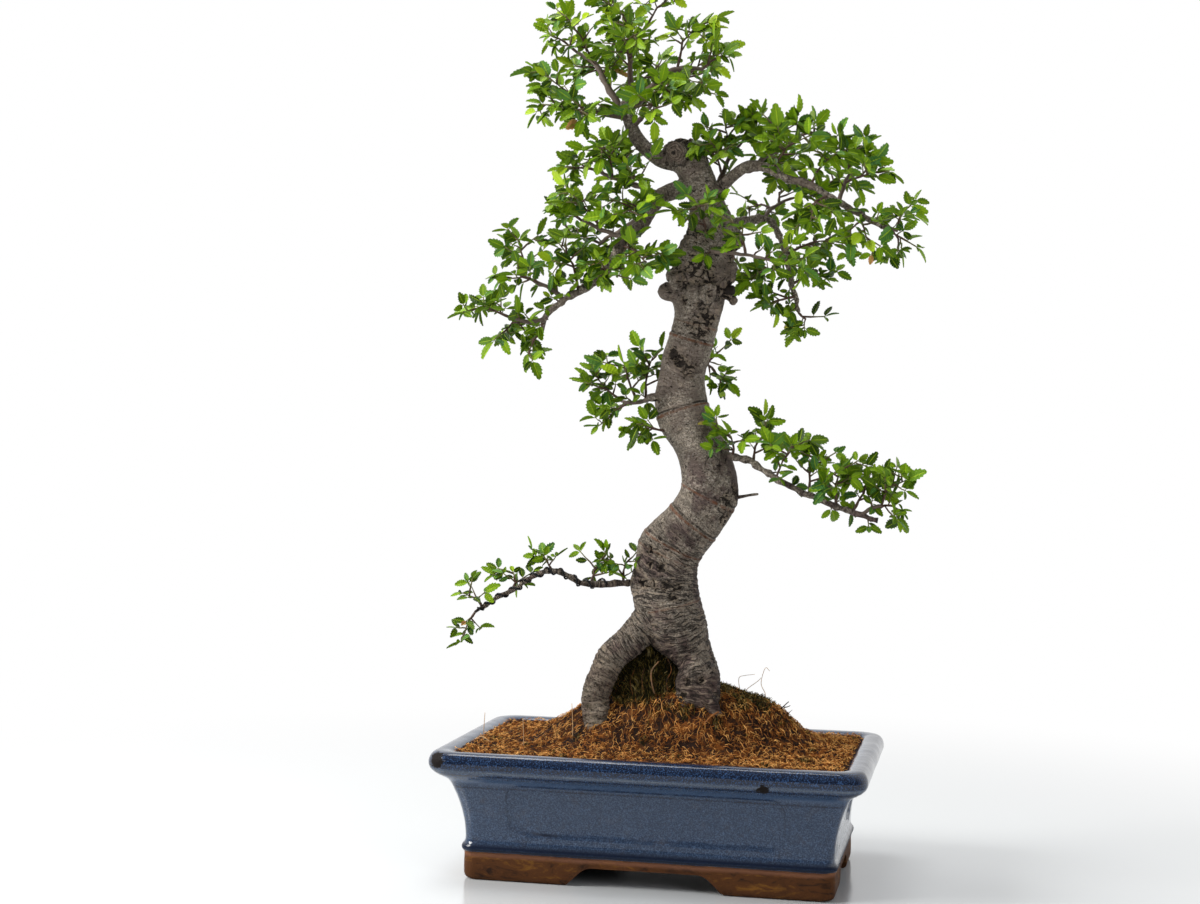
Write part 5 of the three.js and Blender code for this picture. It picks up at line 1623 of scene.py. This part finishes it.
            # painted light: leaves high in the crown are made lighter, and low ones darker
            shade += 0.3 * float(smoothed(560, 660, point.z)) - 0.15
            if terminal and self.draw() < 0.012:
                shade = 1.5
            tilt = blend(-0.6, 0.5, pitch)
            ahead = direction * math.cos(tilt) + level * math.sin(tilt)
            raised = level * math.cos(tilt) - direction * math.sin(tilt)
            aside = raised.cross(ahead)
            turn = 1.7 * (twist - 0.5)
            across = np.array(aside * math.cos(turn) + raised * math.sin(turn))
            height = np.array(raised * math.cos(turn) - aside * math.sin(turn))
            half = self.foliage.leaf_width * size / 2
            run, side, rise, column, place = self.form.T
            bend = (0.06 - 0.26 * droop) * size * run ** 2
            thick = np.where(rise < 0, -self.foliage.leaf_thickness / MM, rise * half * (0.4 + 1.6 * cup))
            places = (np.array(point) + np.array(ahead) * (run * size)[:, None]
                      + across * (side * half)[:, None] + height * (bend + thick)[:, None])
            outside = (places < self.low).any() or (places > self.high).any()
            if outside or near_trunk(Vector(places[3 * LEAF_TEETH]), 1):
                continue
            marks = [(float(a), float(b), shade) for a, b in zip(column, place)]
            self.leafy.add(places.tolist(), self.upper_faces, marks, 0)
            start = len(self.leafy.points) - len(places)
            self.leafy.faces.extend(tuple(start + corner for corner in face) for face in self.lower_faces)
            self.leafy.finishes.extend([1] * len(self.lower_faces))
            self.woody.add(*tube([point, Vector(places[1])], [0.3, 0.24], 3))


class BONSAI_OT_stage(bpy.types.Operator):
    """Sets the plain floor, the soft light and the camera"""

    bl_idname = "bonsai.make_stage"
    bl_label = "Floor, light and camera"

    FLOOR_REACH = 9000
    FLOOR_DROP = -0.2
    # How far from the pot the floor fades into the pale wall
    FLOOR_FADES = (280, 900)
    # Place, aim, size, its power in the settings and tint of each lamp
    LIGHTS = (
        ("key_light", (-1400, -600, 1100), (0, 0, 300), 850, "key_power", (1, 0.985, 0.96)),
        ("fill_light", (1250, -1000, 700), (0, 0, 300), 900, "fill_power", (0.93, 0.96, 1)),
        ("top_light", (-300, 120, 1700), (0, 0, 200), 900, "top_power", (1, 1, 1)),
    )

    def execute(self, context):
        scene = context.scene
        stage = scene.bonsai_stage
        scene.view_settings.view_transform = "Standard"
        corners = [(self.FLOOR_REACH * x, self.FLOOR_REACH * y, self.FLOOR_DROP)
                   for x, y in ((-1, -1), (1, -1), (1, 1), (-1, 1))]
        floor = bpy.data.objects.new("floor", one_skin("floor", corners, [(0, 1, 2, 3)]))
        material, finish = new_finish("plain_floor")
        near = finish.shader({"Base Color": (*stage.floor_white, 1), "Roughness": 0.16})
        bright = finish.node("ShaderNodeEmission", {}, {"Color": (1, 1, 1, 1)})
        finish.end(finish.blended(near, bright, finish.away((0, 0, 0)).rise(*self.FLOOR_FADES)))
        floor.data.materials.append(material)
        scene.collection.objects.link(floor)
        floor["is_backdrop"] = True
        for name, at, target, size, power, tint in self.LIGHTS:
            lamp = bpy.data.lights.new(name, "AREA")
            lamp.shape = "DISK"
            lamp.size = size * MM
            lamp.energy = getattr(stage, power)
            lamp.color = tint
            lit = bpy.data.objects.new(name, lamp)
            lit.location = Vector(at) * MM + MIDDLE
            lit.rotation_euler = (Vector(target) - Vector(at)).to_track_quat("-Z", "Y").to_euler()
            lit.visible_glossy = name != "fill_light"
            scene.collection.objects.link(lit)
        self.make_sky(scene)
        self.make_camera(scene)
        return {"FINISHED"}

    def make_sky(self, scene):
        """A pale surround that the glaze mirrors as a dark room in front and a bright wall behind."""
        world = bpy.data.worlds.new("pale_room")
        scene.world = world
        sky = Finish(world)
        x, y, z = sky.split(sky.node("ShaderNodeTexCoord", {}, {}, "Generated"))
        front = y.rise(0.1, -0.75) * z.rise(0.75, 0.25)
        level = 0.38 - 0.2 * front - 0.16 * x.rise(-0.1, 0.7)
        mirrored = 0.12 + 0.95 * y.rise(-0.35, 0.5) + 0.2 * z.rise(0.3, 0.9)
        seen, glossy = (
            sky.node("ShaderNodeLightPath", {}, {}, f"Is {kind} Ray") for kind in ("Camera", "Glossy"))
        shown = sky.coats(
            sky.combine(level, level, level), (sky.combine(mirrored, mirrored, mirrored), glossy),
            ((1, 1, 1), seen))
        sky.end(sky.node("ShaderNodeBackground", {}, {"Color": shown, "Strength": 1.0}), "World")

    def make_camera(self, scene):
        """The camera where the photograph was taken from."""
        ahead = Vector((-math.sin(CAMERA_TURN), math.cos(CAMERA_TURN), 0))
        right = Vector((math.cos(CAMERA_TURN), math.sin(CAMERA_TURN), 0))
        above = UP * math.cos(CAMERA_TIP) - ahead * math.sin(CAMERA_TIP)
        ahead = ahead * math.cos(CAMERA_TIP) + UP * math.sin(CAMERA_TIP)
        across = right * math.cos(CAMERA_ROLL) + above * math.sin(CAMERA_ROLL)
        above = above * math.cos(CAMERA_ROLL) - right * math.sin(CAMERA_ROLL)
        lens = bpy.data.cameras.new("camera")
        lens.sensor_fit = "HORIZONTAL"
        lens.sensor_width = 36
        lens.lens = 36 * FOCAL_PIXELS / FRAME_PIXELS[0]
        lens.clip_end = 50
        camera = bpy.data.objects.new("camera", lens)
        turn = Matrix((across, above, -ahead)).transposed().to_4x4()
        camera.matrix_world = Matrix.Translation(Vector(CAMERA_AT) * MM + MIDDLE) @ turn
        scene.collection.objects.link(camera)
        scene.camera = camera


class BONSAI_PT_builder(bpy.types.Panel):
    """Lists the steps that build the bonsai, with the sizes and colours that each one reads"""

    bl_idname = "BONSAI_PT_builder"
    bl_label = "Bonsai"
    bl_space_type = "VIEW_3D"
    bl_region_type = "UI"
    bl_category = "Bonsai"

    def draw(self, context):
        for step in STEPS:
            self.layout.operator(step.bl_idname)
        for key in SETTINGS:
            settings = getattr(context.scene, key)
            box = self.layout.box()
            for name in settings.__annotations__:
                box.prop(settings, name)


STEPS = (
    BONSAI_OT_stage, BONSAI_OT_pot, BONSAI_OT_drainage, BONSAI_OT_soil, BONSAI_OT_fibres, BONSAI_OT_moss,
    BONSAI_OT_wood, BONSAI_OT_wire, BONSAI_OT_foliage,
)


def register():
    for made in (*SETTINGS.values(), *STEPS, BONSAI_PT_builder):
        bpy.utils.register_class(made)
    for key, settings in SETTINGS.items():
        setattr(bpy.types.Scene, key, PointerProperty(type=settings))


def unregister():
    for key in SETTINGS:
        delattr(bpy.types.Scene, key)
    for made in (BONSAI_PT_builder, *reversed(STEPS), *reversed(SETTINGS.values())):
        bpy.utils.unregister_class(made)


def main():
    """Builds the whole part and works out its box beside the box of the solids."""
    register()
    for step in STEPS:
        group, name = step.bl_idname.split(".")
        getattr(getattr(bpy.ops, group), name)()
    boxes = {"cad": CAD_BOX, "visual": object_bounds()}
    {key: [list(corner) for corner in box] for key, box in boxes.items()}


if __name__ == "__main__":
    main()
